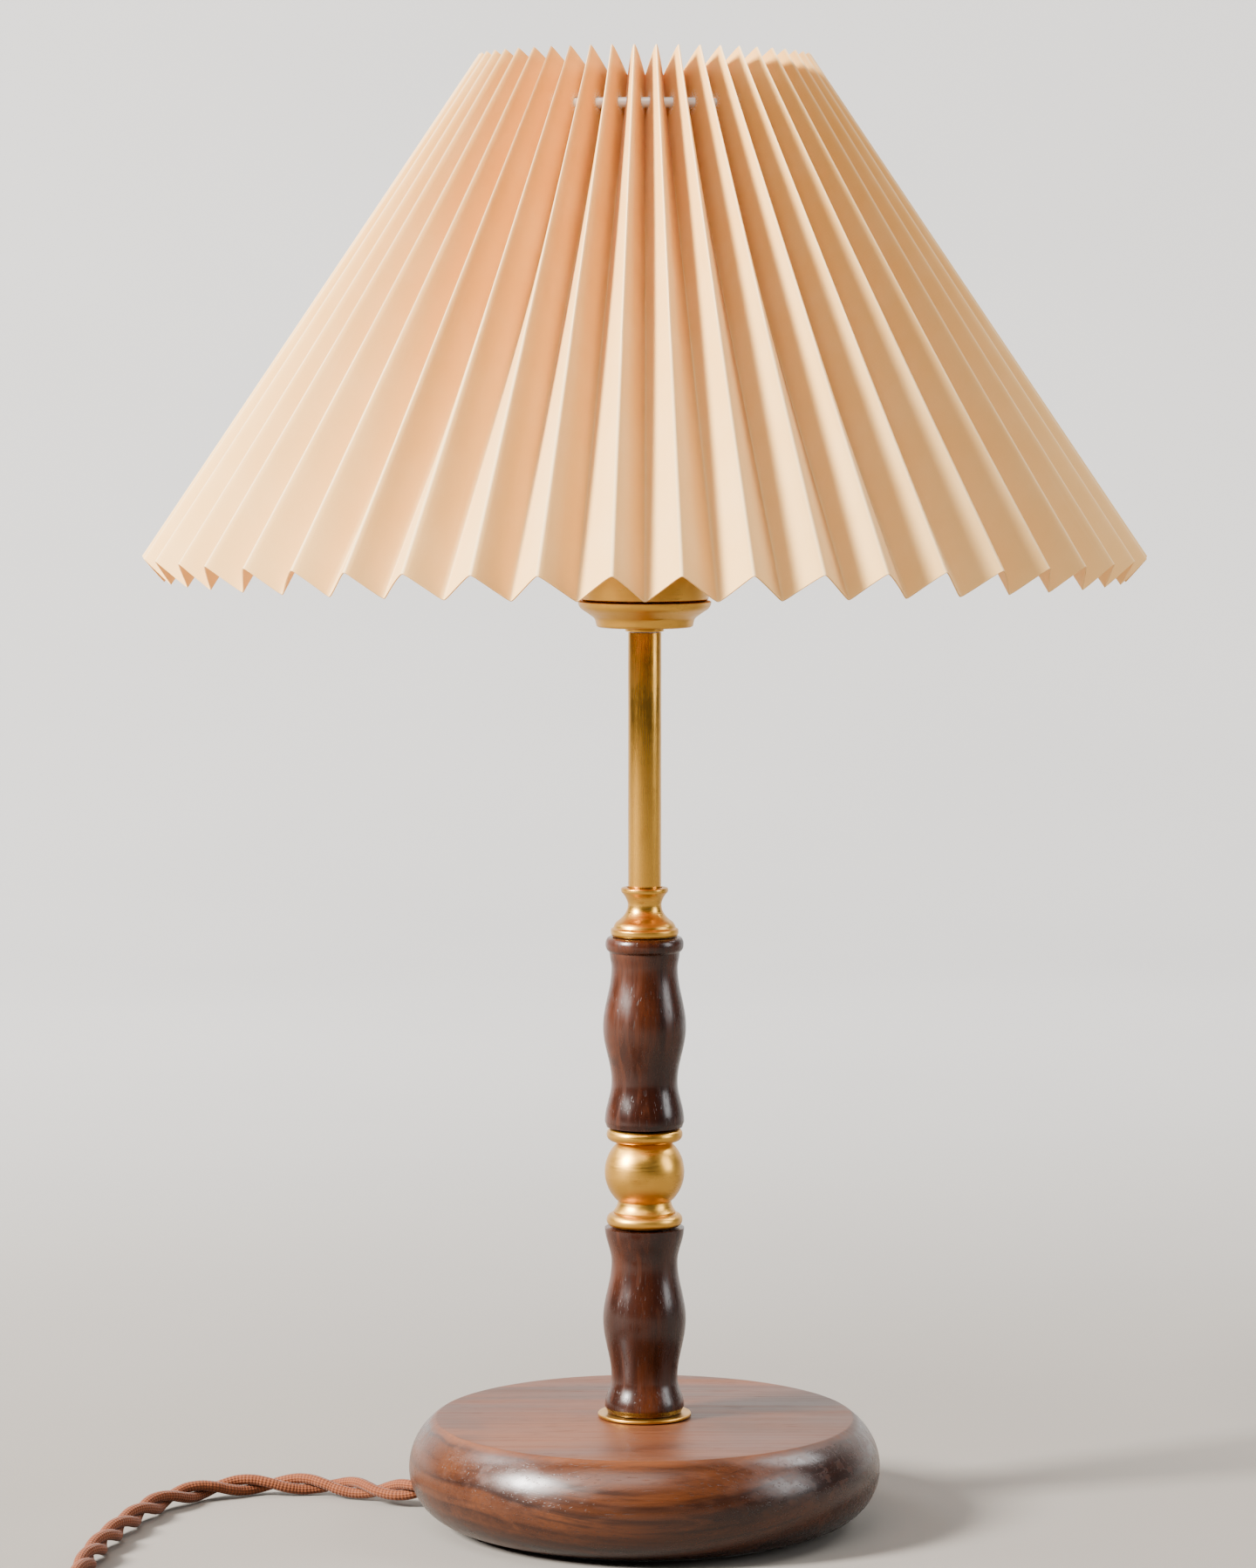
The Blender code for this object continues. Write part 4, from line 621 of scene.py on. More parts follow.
class Finishes:
    """Every finish of the lamp, made once."""

    def __init__(self, sheet: PleatedSheet) -> None:
        """Makes the materials."""
        self.spindle = Walnut("spindle_walnut").make()
        self.board = Walnut(
            "board_walnut", turn=(0.0, 90.0, 5.0), pith=(0.052, 0.030, 0.0), ring=150.0, figure=0.78,
            mid=(0.030, 0.0062, 0.0014), light=(0.104, 0.0280, 0.0056), rough=0.28,
            flat=(0.0300, 0.0318)).make()
        self.brass = Brass("turned_brass").make()
        self.drawn_brass = Brass("drawn_brass", marks=(1.0, 1.0, 0.02), rough=0.25).make()
        self.sheet = sheet.make()
        self.braid = Braid("rust_braid").make()
        gloss = (("coat_weight", 0.5), ("coat_roughness", 0.08))
        self.steel = Plain("zinc_plate", (0.60, 0.61, 0.62), (0.40, 0.42, 0.46), 0.5, (0.26, 0.42),
                           True, (2400, 0.000008), (0.1, 0.1, 1.0)).make()
        self.iron = Plain("cast_iron", (0.075, 0.075, 0.080), (0.14, 0.12, 0.11), 0.6, (0.55, 0.75),
                          True, (900, 0.00015)).make()
        self.felt = Plain("pressed_felt", (0.028, 0.034, 0.030), (0.070, 0.078, 0.070), 0.9, (0.92, 1.0),
                          False, (3200, 0.00025), mottle=420,
                          shader=(("sheen_weight", 0.6), ("sheen_roughness", 0.6),
                                  ("specular_ior_level", 0.1))).make()
        self.nylon = Plain("white_nylon", (0.78, 0.77, 0.72), (0.66, 0.64, 0.58), 0.3, (0.40, 0.55)).make()
        self.porcelain = Plain("glazed_porcelain", (0.86, 0.84, 0.79), (0.74, 0.71, 0.66), 0.35,
                               (0.12, 0.22), False, (500, 0.00003), shader=gloss).make()
        self.enamel = Plain("white_enamel", (0.86, 0.86, 0.84), (0.72, 0.71, 0.68), 0.3, (0.22, 0.36),
                            False, (700, 0.00002), shader=gloss).make()
        self.opal = Plain("opal_glass", (0.90, 0.89, 0.85), (0.82, 0.81, 0.78), 0.3, (0.06, 0.12),
                          False, (60, 0.00002), mottle=30,
                          shader=(("subsurface_weight", 0.35), ("subsurface_scale", 0.004),
                                  ("subsurface_radius", (1.0, 0.9, 0.8)),
                                  ("coat_weight", 0.8), ("coat_roughness", 0.03))).make()
        self.nickel = Plain("nickel_plate", (0.66, 0.63, 0.58), (0.50, 0.46, 0.40), 0.5, (0.16, 0.30),
                            True, (1800, 0.000006)).make()
        self.black_glass = Plain("black_glass", (0.018, 0.016, 0.016), (0.05, 0.04, 0.04), 0.3,
                                 (0.08, 0.16), False, (400, 0.00003), shader=gloss).make()
        self.strap = Plain("woven_strap", (0.135, 0.052, 0.024), (0.230, 0.100, 0.050), 0.6, (0.75, 0.90),
                           False, (1500, 0.00012), (1.0, 1.0, 1.0), 300.0,
                           (("sheen_weight", 0.3), ("sheen_roughness", 0.5))).make()
        self.sleeve = Plain("blue_sleeve", (0.06, 0.09, 0.26), (0.10, 0.13, 0.32), 0.4, (0.35, 0.5)).make()
        self.bakelite = Plain("brown_bakelite", (0.050, 0.0175, 0.0085), (0.115, 0.042, 0.020), 0.75,
                              (0.16, 0.28), False, (1200, 0.000012), (1, 1, 1), 55.0,
                              (("coat_weight", 0.4), ("coat_roughness", 0.10))).make()


# ---------------------------------------------------------------- shapes
def linked(name: str, data: bpy.types.ID) -> bpy.types.Object:
    """A new object in the scene for a mesh or a curve."""
    obj = bpy.data.objects.new(name, data)
    bpy.context.scene.collection.objects.link(obj)
    return obj


def dress(piece: bpy.types.Object, finish: bpy.types.Material | None, body: Body, slot: Slot,
          stands_for: Sequence[str] = ()) -> bpy.types.Object:
    """Gives a piece its finish, its body and the CAD nodes that it stands for.

    Args:
        piece: a mesh at the origin.
        finish: its material, or None where it has one.
        body: what it moves with.
        slot: the record's slot that it is finished from.
        stands_for: CAD nodes that aren't shown any more.

    Returns:
        The piece.
    """
    if finish is not None:
        piece.data.materials.clear()
        piece.data.materials.append(finish)
    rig.ride(piece, body.value)
    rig.slot(piece, slot.value)
    if stands_for:
        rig.replaces(piece, *stands_for)
    LOG.info("%s: %d faces on %s", piece.name, len(piece.data.polygons), body.value)
    return piece


def smoothed(mesh: bpy.types.Mesh, degrees: float = 32.0) -> bpy.types.Mesh:
    """Merges doubles, turns faces outwards and shades the mesh smooth up to an angle."""
    bm = bmesh.new()
    bm.from_mesh(mesh)
    bmesh.ops.remove_doubles(bm, verts=bm.verts, dist=1e-7)
    bmesh.ops.recalc_face_normals(bm, faces=bm.faces)
    bm.to_mesh(mesh)
    bm.free()
    mesh.shade_smooth()
    mesh.set_sharp_from_angle(angle=math.radians(degrees))
    return mesh


def filleted(profile: Outline, radius: float, steps: int = 4, closed: bool = True) -> Outline:
    """The profile with each corner rounded, where its edges leave room.

    Args:
        profile: the points of a turned section.
        radius: how far along each edge the rounding starts.
        steps: how many edges a corner becomes.
        closed: whether the profile's ends meet.

    Returns:
        The rounded profile.
    """
    rounded: Outline = []
    count = len(profile)
    for i, corner in enumerate(profile):
        if not closed and i in (0, count - 1):
            rounded.append(corner)
            continue
        here = np.array(corner)
        before, after = np.array(profile[i - 1]), np.array(profile[(i + 1) % count])
        to_before, to_after = before - here, after - here
        long_before, long_after = np.linalg.norm(to_before), np.linalg.norm(to_after)
        bend = math.degrees(math.acos(np.clip(-(to_before @ to_after) / (long_before * long_after), -1, 1)))
        if bend < 24:
            rounded.append(corner)
            continue
        start = here + to_before / long_before * min(radius, 0.45 * long_before)
        end = here + to_after / long_after * min(radius, 0.45 * long_after)
        for k in range(steps + 1):
            t = k / steps
            point = (1 - t) ** 2 * start + 2 * t * (1 - t) * here + t * t * end
            rounded.append((float(point[0]), float(point[1])))
    return rounded


def arc(centre: tuple[float, float], radius: float, start: float, end: float, steps: int) -> Outline:
    """Profile points on an arc between two angles, in degrees from the outward direction."""
    angles = [math.radians(start + (end - start) * i / steps) for i in range(steps + 1)]
    return [(centre[0] + radius * math.cos(a), centre[1] + radius * math.sin(a)) for a in angles]


def swell(stations: Sequence[tuple[float, float]], steps: int = 12) -> Outline:
    """An outline that eases from each (height, radius) station to the next, read from top to bottom."""
    outline: Outline = []
    for (z0, r0), (z1, r1) in zip(stations, stations[1:]):
        for i in range(steps):
            ease = (1 - math.cos(math.pi * i / steps)) / 2
            outline.append((r0 + (r1 - r0) * ease, z0 + (z1 - z0) * i / steps))
    outline.append((stations[-1][1], stations[-1][0]))
    return outline[::-1]


def turned(name: str, profile: Outline, z: float = 0.0, sides: int = 96, closed: bool = True,
           relief: Callable[[float, float], float] | None = None,
           degrees: float = 32.0) -> bpy.types.Object:
    """A turned piece on the Z axis.

    Args:
        name: its name.
        profile: (radius, height) points down the outside and up the inside, or from pole to pole.
        z: how far up it goes.
        sides: its facets round the axis.
        closed: whether the profile's ends meet.
        relief: what to add to the radius at an angle and a height, for a thread or a knurl.
        degrees: the sharpest edge that is shaded smooth.

    Returns:
        The object.
    """
    points = np.array(profile, float)
    rows = len(points)
    angles = np.arange(sides) * TURN / sides
    radii = np.repeat(points[:, 0][:, None], sides, axis=1)
    if relief is not None:
        extra = np.array([[relief(a, h) for a in angles] for h in points[:, 1]])
        radii = radii + extra
    heights = np.repeat(points[:, 1][:, None], sides, axis=1) + z
    verts = np.stack([radii * np.cos(angles), radii * np.sin(angles), heights], axis=-1).reshape(-1, 3)
    faces = [
        (i * sides + j, ((i + 1) % rows) * sides + j,
         ((i + 1) % rows) * sides + (j + 1) % sides, i * sides + (j + 1) % sides)
        for i in range(rows if closed else rows - 1) for j in range(sides)
    ]
    mesh = bpy.data.meshes.new(name)
    mesh.from_pydata(verts.tolist(), [], faces)
    return linked(name, smoothed(mesh, degrees))


def solid(name: str, build: Callable[[bmesh.types.BMesh], None], degrees: float = 32.0) -> bpy.types.Object:
    """A piece that a function builds in a bmesh."""
    mesh = bpy.data.meshes.new(name)
    bm = bmesh.new()
    build(bm)
    bm.to_mesh(mesh)
    bm.free()
    return linked(name, smoothed(mesh, degrees))


def rod(name: str, start: Sequence[float], end: Sequence[float], radius: float, sides: int = 24,
        end_radius: float | None = None) -> bpy.types.Object:
    """A cylinder or a cone between two points."""
    low, high = Vector(start), Vector(end)
    along = high - low
    place = Matrix.Translation((low + high) / 2) @ along.to_track_quat("Z", "Y").to_matrix().to_4x4()

    def build(bm: bmesh.types.BMesh) -> None:
        """Makes the cone."""
        bmesh.ops.create_cone(bm, cap_ends=True, segments=sides, radius1=radius,
                              radius2=radius if end_radius is None else end_radius,
                              depth=along.length, matrix=place)

    return solid(name, build)


def box(name: str, low: Sequence[float], high: Sequence[float]) -> bpy.types.Object:
    """A plain box, for cutting."""
    low, high = Vector(low), Vector(high)

    def build(bm: bmesh.types.BMesh) -> None:
        """Makes the box."""
        bmesh.ops.create_cube(bm, size=1.0)
        bmesh.ops.scale(bm, vec=high - low, verts=bm.verts)
        bmesh.ops.translate(bm, vec=(low + high) / 2, verts=bm.verts)

    return solid(name, build)


def baked(piece: bpy.types.Object) -> bpy.types.Object:
    """Applies a piece's modifiers."""
    graph = bpy.context.evaluated_depsgraph_get()
    mesh = bpy.data.meshes.new_from_object(piece.evaluated_get(graph))
    piece.modifiers.clear()
    old, piece.data = piece.data, mesh
    mesh.name = piece.name
    bpy.data.meshes.remove(old)
    return piece


def cut(piece: bpy.types.Object, *cutters: bpy.types.Object, operation: str = "DIFFERENCE",
        degrees: float = 32.0) -> bpy.types.Object:
    """Cuts a piece with others, or joins them to it, and removes them."""
    for cutter in cutters:
        boolean = piece.modifiers.new("cut", "BOOLEAN")
        boolean.operation = operation
        boolean.solver = "EXACT"
        boolean.object = cutter
        baked(piece)
        bpy.data.objects.remove(cutter)
    smoothed(piece.data, degrees)
    return piece


def bevelled(piece: bpy.types.Object, width: float, segments: int = 3, degrees: float = 30.0,
             shade: float = 32.0) -> bpy.types.Object:
    """Rounds a piece's sharp edges."""
    bevel = piece.modifiers.new("edges", "BEVEL")
    bevel.width = width
    bevel.segments = segments
    bevel.limit_method = "ANGLE"
    bevel.angle_limit = math.radians(degrees)
    baked(piece)
    smoothed(piece.data, shade)
    return piece


def smooth_route(points: Iterable[Sequence[float]], spacing: float) -> list[Vector]:
    """Evenly spaced points on a smooth curve through a route's own points."""
    knots = [Vector(p) for p in points]
    ends = [2 * knots[0] - knots[1], *knots, 2 * knots[-1] - knots[-2]]
    fine: list[Vector] = []
    for before, start, end, after in zip(ends, ends[1:], ends[2:], ends[3:]):
        for i in range(12):
            t = i / 12
            fine.append(0.5 * (
                2 * start + (end - before) * t
                + (2 * before - 5 * start + 4 * end - after) * t * t
                + (3 * start - before - 3 * end + after) * t ** 3))
    fine.append(knots[-1])
    steps = [0.0, *np.cumsum([(b - a).length for a, b in zip(fine, fine[1:])])]
    wanted = np.linspace(0.0, steps[-1], max(3, round(steps[-1] / spacing) + 1))
    axes = [np.interp(wanted, steps, [p[k] for p in fine]) for k in range(3)]
    return [Vector(p) for p in zip(*axes)]


def around(angle: float, radius: float, z: float) -> Vector:
    """A point at an angle from the front, which grows towards +X."""
    return Vector((radius * math.sin(angle), -radius * math.cos(angle), z))


def swept(name: str, points: Sequence[Sequence[float]], radius: float, sides: int = 12) -> bpy.types.Object:
    """A round wire along points, with closed ends, as a mesh."""
    curve = bpy.data.curves.new(name, "CURVE")
    curve.dimensions = "3D"
    curve.bevel_depth = radius
    curve.bevel_resolution = sides // 4
    curve.use_fill_caps = True
    spline = curve.splines.new("POLY")
    spline.points.add(len(points) - 1)
    for point, place in zip(spline.points, points):
        point.co = (*place, 1.0)
    carrier = linked(name + "_curve", curve)
    graph = bpy.context.evaluated_depsgraph_get()
    mesh = bpy.data.meshes.new_from_object(carrier.evaluated_get(graph))
    bpy.data.objects.remove(carrier)
    return linked(name, smoothed(mesh, 50))


# ---------------------------------------------------------------- studio
@dataclass
class Studio:
    """The floor, the lights and the camera."""

    eye: tuple[float, float, float] = (-0.005, -1.513, 0.3515)
    tilt: float = -0.0838
    lens: float = 116.13
    wall_tone: tuple[float, float, float] = (0.440, 0.430, 0.420)
    floor_tone: tuple[float, float, float] = (0.190, 0.172, 0.150)
    floor_end: tuple[float, float] = (0.0, 1.3)  # where the floor's tone starts and stops paling

    def build(self) -> None:
        """Makes the camera, the backdrop and the lights."""
        self.make_camera()
        self.make_backdrop()
        self.make_lights()

    def make_camera(self) -> None:
        """A long lens a metre and a half away, a little over the shade's foot."""
        data = bpy.data.cameras.new("camera")
        data.lens = self.lens
        data.sensor_width = 36.0
        data.clip_start = 0.05
        camera = linked("camera", data)
        camera.location = self.eye
        camera.rotation_euler = (math.pi / 2 + self.tilt, 0.0, 0.0)
        bpy.context.scene.camera = camera

    def make_backdrop(self) -> None:
        """A darker grey floor that pales as it curves up into a wall far behind."""
        radius, back, half, top = 1.2, 2.6, 9.0, 5.0
        section = [(-9.0, 0.0), (back - radius, 0.0)]
        section += [(back - radius + radius * math.sin(a), radius * (1 - math.cos(a)))
                    for a in (math.radians(d) for d in range(6, 91, 6))]
        section.append((back, top))
        verts = [(x, y, z) for y, z in section for x in (-half, half)]
        faces = [(2 * i, 2 * i + 1, 2 * i + 3, 2 * i + 2) for i in range(len(section) - 1)]
        mesh = bpy.data.meshes.new("backdrop")
        mesh.from_pydata(verts, [], faces)
        mesh.shade_smooth()
        backdrop = linked("backdrop", mesh)
        paint = Paint("pale_paint")
        cloud = paint.noise(paint.place(), 3.0, 3)
        _, back_from_lamp, _ = paint.parts(paint.place())
        # the floor is a darker grey near the lamp and pales towards the wall; the paling up the sweep partly paints
        # the light's fall-off
        tone = paint.mix(paint.between(back_from_lamp, *self.floor_end), self.floor_tone, self.wall_tone)
        tone = paint.mix(paint.between(cloud, 0.3, 0.7, 0.0, 0.03), tone, (0.0, 0.0, 0.0))
        # it is clear from behind and from below, so that the lamp can be seen from there too
        behind = paint.add("ShaderNodeNewGeometry").outputs["Backfacing"]
        clear = paint.add("ShaderNodeBsdfTransparent").outputs[0]
        painted = paint.surface(base_color=tone, roughness=0.85)
        mesh.materials.append(paint.done(
            paint.add("ShaderNodeMixShader", {0: behind, 1: painted, 2: clear}).outputs[0]))
        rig.stage(backdrop)

    def make_lights(self) -> None:
        """A window to the left of the front, a dimmer one to the right, and a wash on the wall behind."""
        for name, place, target, size, power, tone in (
                ("left_window", (-2.25, -1.05, 1.60), (0.0, 0.0, 0.2), (0.6, 0.8), 530.0, (1.0, 0.97, 0.93)),
                ("high_front", (-0.45, -1.35, 2.65), (0.0, 0.0, 0.3), (1.7, 1.7), 64.0, (1.0, 0.985, 0.96)),
                ("right_window", (2.3, -0.6, 1.0), (0.0, 0.0, 0.2), (0.9, 1.3), 40.0, (0.98, 0.99, 1.0)),
                ("wall_left", (-2.0, 0.9, 2.3), (-0.3, 2.6, 0.6), (1.2, 1.2), 80.0, (1.0, 1.0, 1.0)),
                ("wall_right", (2.0, 0.9, 2.3), (0.3, 2.6, 0.6), (1.2, 1.2), 90.0, (1.0, 1.0, 1.0))):
            data = bpy.data.lights.new(name, "AREA")
            data.shape = "RECTANGLE"
            data.size, data.size_y = size
            data.energy = power
            data.color = tone
            light = linked(name, data)
            light.location = place
            aim = Vector(target) - Vector(place)
            light.rotation_euler = aim.to_track_quat("-Z", "Y").to_euler()
        world = bpy.data.worlds.new("room")
        world.use_nodes = True
        background = world.node_tree.nodes["Background"]
        background.inputs["Color"].default_value = (0.93, 0.96, 1.0, 1.0)
        background.inputs["Strength"].default_value = 0.12
        bpy.context.scene.world = world


# ---------------------------------------------------------------- cord
# Out of the base, along the table and up into the switch.
SWITCH_ROUTE = (
    (-0.0653, 0.0139, 0.0068), (-0.0721, 0.0156, 0.0059), (-0.0801, 0.0203, 0.0046),
    (-0.0883, 0.0268, 0.0038), (-0.0963, 0.0313, 0.0036), (-0.1043, 0.0333, 0.0036),
    (-0.1122, 0.0338, 0.0036), (-0.1201, 0.0330, 0.0036), (-0.1279, 0.0306, 0.0036),
    (-0.1354, 0.0258, 0.0036), (-0.1426, 0.0180, 0.0036), (-0.1493, 0.0055, 0.0036),
    (-0.1551, -0.0152, 0.0036), (-0.1600, -0.0417, 0.0036), (-0.1622, -0.0641, 0.0036),
    (-0.1625, -0.0850, 0.0036), (-0.1610, -0.1080, 0.0036), (-0.1575, -0.1300, 0.0037),
    (-0.1535, -0.1480, 0.0044), (-0.1508, -0.1600, 0.0068), (-0.1500, -0.1680, 0.0086),
    (-0.1500, -0.1722, 0.0088),
)
# From the switch round to the outermost turn of the coil.
COIL_ROUTE = (
    (-0.1500, -0.2348, 0.0088), (-0.1500, -0.2395, 0.0083), (-0.1495, -0.2450, 0.0068),
    (-0.1470, -0.2520, 0.0052), (-0.1425, -0.2590, 0.0049), (-0.1355, -0.2650, 0.0048),
    (-0.1270, -0.2675, 0.0048), (-0.1195, -0.2675, 0.0048), (-0.1120, -0.2675, 0.0048),
)
# From the coil's upper turns down to the table and into the plug.
PLUG_ROUTE = (
    (-0.0587, -0.2644, 0.0099),
    (-0.0493, -0.2609, 0.0075), (-0.0440, -0.2588, 0.0060), (-0.0385, -0.2567, 0.0048),
    (-0.0320, -0.2545, 0.0043), (-0.0265, -0.2529, 0.0050), (-0.0210, -0.2517, 0.0063),
    (-0.0156, -0.2511, 0.0071),
)


@dataclass
class TwistedCord:
    """A two-core textile cord, whose braided strands are wound round each other.

    Attributes:
        strand: a strand's radius; the cord is four of them across.
        lay: length of one twist.
        step: how far apart the strands' rings are.
        coil_centre: where the coil lies.
    """

    strand: float = 0.00166
    lay: float = 0.036
    step: float = 0.0010
    coil_centre: tuple[float, float] = (-0.0850, -0.2214)

    def coil_path(self) -> list[Vector]:
        """The wound turns: three on the table, each inside the last, and two on top of them."""
        # (degrees wound, radius, height), held between pairs and eased across each step
        low, high = 0.0048, 0.0105
        plan = ((0, 0.0461, low), (310, 0.0461, low), (360, 0.0395, low), (670, 0.0395, low),
                (720, 0.0329, low), (960, 0.0329, low), (1035, 0.0362, high), (1335, 0.0362, high),
                (1390, 0.0428, high), (1740, 0.0428, high), (1800, 0.0490, 0.0108), (1820, 0.0494, high))
        points = []
        for (d0, r0, z0), (d1, r1, z1) in zip(plan, plan[1:]):
            steps = max(3, round((d1 - d0) / 12))
            for i in range(steps):
                t = i / steps
                ease = t * t * (3 - 2 * t)
                a = math.radians(d0 + (d1 - d0) * t - 90)
                r, z = r0 + (r1 - r0) * ease, z0 + (z1 - z0) * ease
                points.append(Vector((self.coil_centre[0] + r * math.cos(a),
                                      self.coil_centre[1] + r * math.sin(a), z)))
        a = math.radians(plan[-1][0] - 90)
        points.append(Vector((self.coil_centre[0] + plan[-1][1] * math.cos(a),
                              self.coil_centre[1] + plan[-1][1] * math.sin(a), plan[-1][2])))
        return points

    def twisted(self, name: str, path: Sequence[Vector], finish: bpy.types.Material) -> bpy.types.Object:
        """Both strands wound along a path.

        Args:
            name: the piece's name.
            path: evenly spaced points.
            finish: the braid.

        Returns:
            A mesh with the strands' own measures as attributes.
        """
        line = bpy.data.meshes.new(name + "_line")
        line.from_pydata(list(path), [(i, i + 1) for i in range(len(path) - 1)], [])
        g = Shaper(name + "_twist")
        strand, lay = g.size("Strand Radius", self.strand), g.size("Lay", self.lay)
        step, braid = g.size("Step", self.step), g.size("Finish", finish)
        curve = g.add("GeometryNodeMeshToCurve", {0: g.entry.outputs[0]}).outputs[0]
        curve = g.add("GeometryNodeResampleCurve", {"Curve": curve, "Length": step}, mode="LENGTH").outputs[0]
        curve = g.add("GeometryNodeSetCurveNormal", {"Curve": curve}, mode="Z_UP").outputs[0]
        length = g.add("GeometryNodeSplineParameter").outputs["Length"]
        tangent = g.add("GeometryNodeInputTangent").outputs[0]
        normal = g.add("GeometryNodeInputNormal").outputs[0]
        side = g.vector_math("CROSS_PRODUCT", tangent, normal)
        turn = g.math("MULTIPLY", g.math("DIVIDE", length, lay), TURN)
        outline = g.add("GeometryNodeCurvePrimitiveCircle", {"Resolution": 12, "Radius": strand}).outputs[0]
        here = g.add("GeometryNodeInputPosition").outputs[0]
        outline = g.add("GeometryNodeStoreNamedAttribute",
                        {"Geometry": outline, "Name": "ring", "Value": g.vector_math("NORMALIZE", here)},
                        data_type="FLOAT_VECTOR", domain="POINT").outputs[0]
        both = g.add("GeometryNodeJoinGeometry")
        for phase in (0.0, math.pi):
            angle = g.math("ADD", turn, phase)
            offset = g.vector_math("ADD", g.scaled(normal, g.math("MULTIPLY", g.math("COSINE", angle), strand)),
                                   g.scaled(side, g.math("MULTIPLY", g.math("SINE", angle), strand)))
            wound = g.add("GeometryNodeStoreNamedAttribute",
                          {"Geometry": curve, "Name": "along", "Value": length},
                          data_type="FLOAT", domain="POINT").outputs[0]
            wound = g.add("GeometryNodeSetPosition", {"Geometry": wound, "Offset": offset}).outputs[0]
            tube = g.add("GeometryNodeCurveToMesh", {"Curve": wound, "Profile Curve": outline,
                                                     "Fill Caps": True}).outputs[0]
            g.tree.links.new(tube, both.inputs[0])
        piece = g.bake(name, line, both.outputs[0], braid)
        smoothed(piece.data, 60)
        return piece

    def make_tie(self, finish: bpy.types.Material) -> bpy.types.Object:
        """A woven strap round the coil's turns, on its side towards the lamp, closed on itself."""
        inner, outer, low, high, thick, half = 0.02895, 0.04975, 0.0012, 0.0143, 0.0009, 0.0035
        bend = 0.0046
        corners = ((outer - bend, low + bend, -90), (outer - bend, high - bend, 0),
                   (inner + bend, high - bend, 90), (inner + bend, low + bend, 180))
        centre = Vector((*self.coil_centre, 0.0))
        loop = [(y + bend * math.cos(a), z + bend * math.sin(a), a)
                for y, z, start in corners for a in (math.radians(start + 90 * i / 6) for i in range(7))]

        def build(bm: bmesh.types.BMesh) -> None:
            """Makes the strap as a closed band with rounded edges."""
            section = ((-half, 0.25), (-half + 0.0003, 0.0), (half - 0.0003, 0.0), (half, 0.25),
                       (half, 0.75), (half - 0.0003, 1.0), (-half + 0.0003, 1.0), (-half, 0.75))
            rings = []
            for y, z, a in loop:
                out = Vector((0.0, math.cos(a), math.sin(a))) * thick
                rings.append([bm.verts.new(centre + Vector((x, y, z)) + out * share) for x, share in section])
            for first, second in zip(rings, rings[1:] + rings[:1]):
                for k in range(len(section)):
                    k1 = (k + 1) % len(section)
                    bm.faces.new((first[k], first[k1], second[k1], second[k]))

        return dress(solid("coil_tie", build, 40), finish, Body.LAMP, Slot.BRAID, ("cord_tie",))

    def build(self, braid: bpy.types.Material) -> tuple[bpy.types.Object, list[Vector],
                                                        bpy.types.Object, list[Vector]]:
        """Both leads, each with its path: from the base to the switch, and from there to the plug."""
        first_path = smooth_route(SWITCH_ROUTE, 0.006)
        second_path = smooth_route([*COIL_ROUTE, *self.coil_path(), *PLUG_ROUTE], 0.005)
        first = dress(self.twisted("lead_to_switch", first_path, braid), None, Body.LAMP, Slot.BRAID,
                      ("cord_to_switch",))
        second = dress(self.twisted("lead_to_plug", second_path, braid), None, Body.LAMP, Slot.BRAID,
                       ("cord_to_coil", "cord_coil", "cord_to_plug"))
        return first, first_path, second, second_path


def length_of(path: Sequence[Vector]) -> float:
    """How long a path is."""
    return sum((b - a).length for a, b in zip(path, path[1:]))


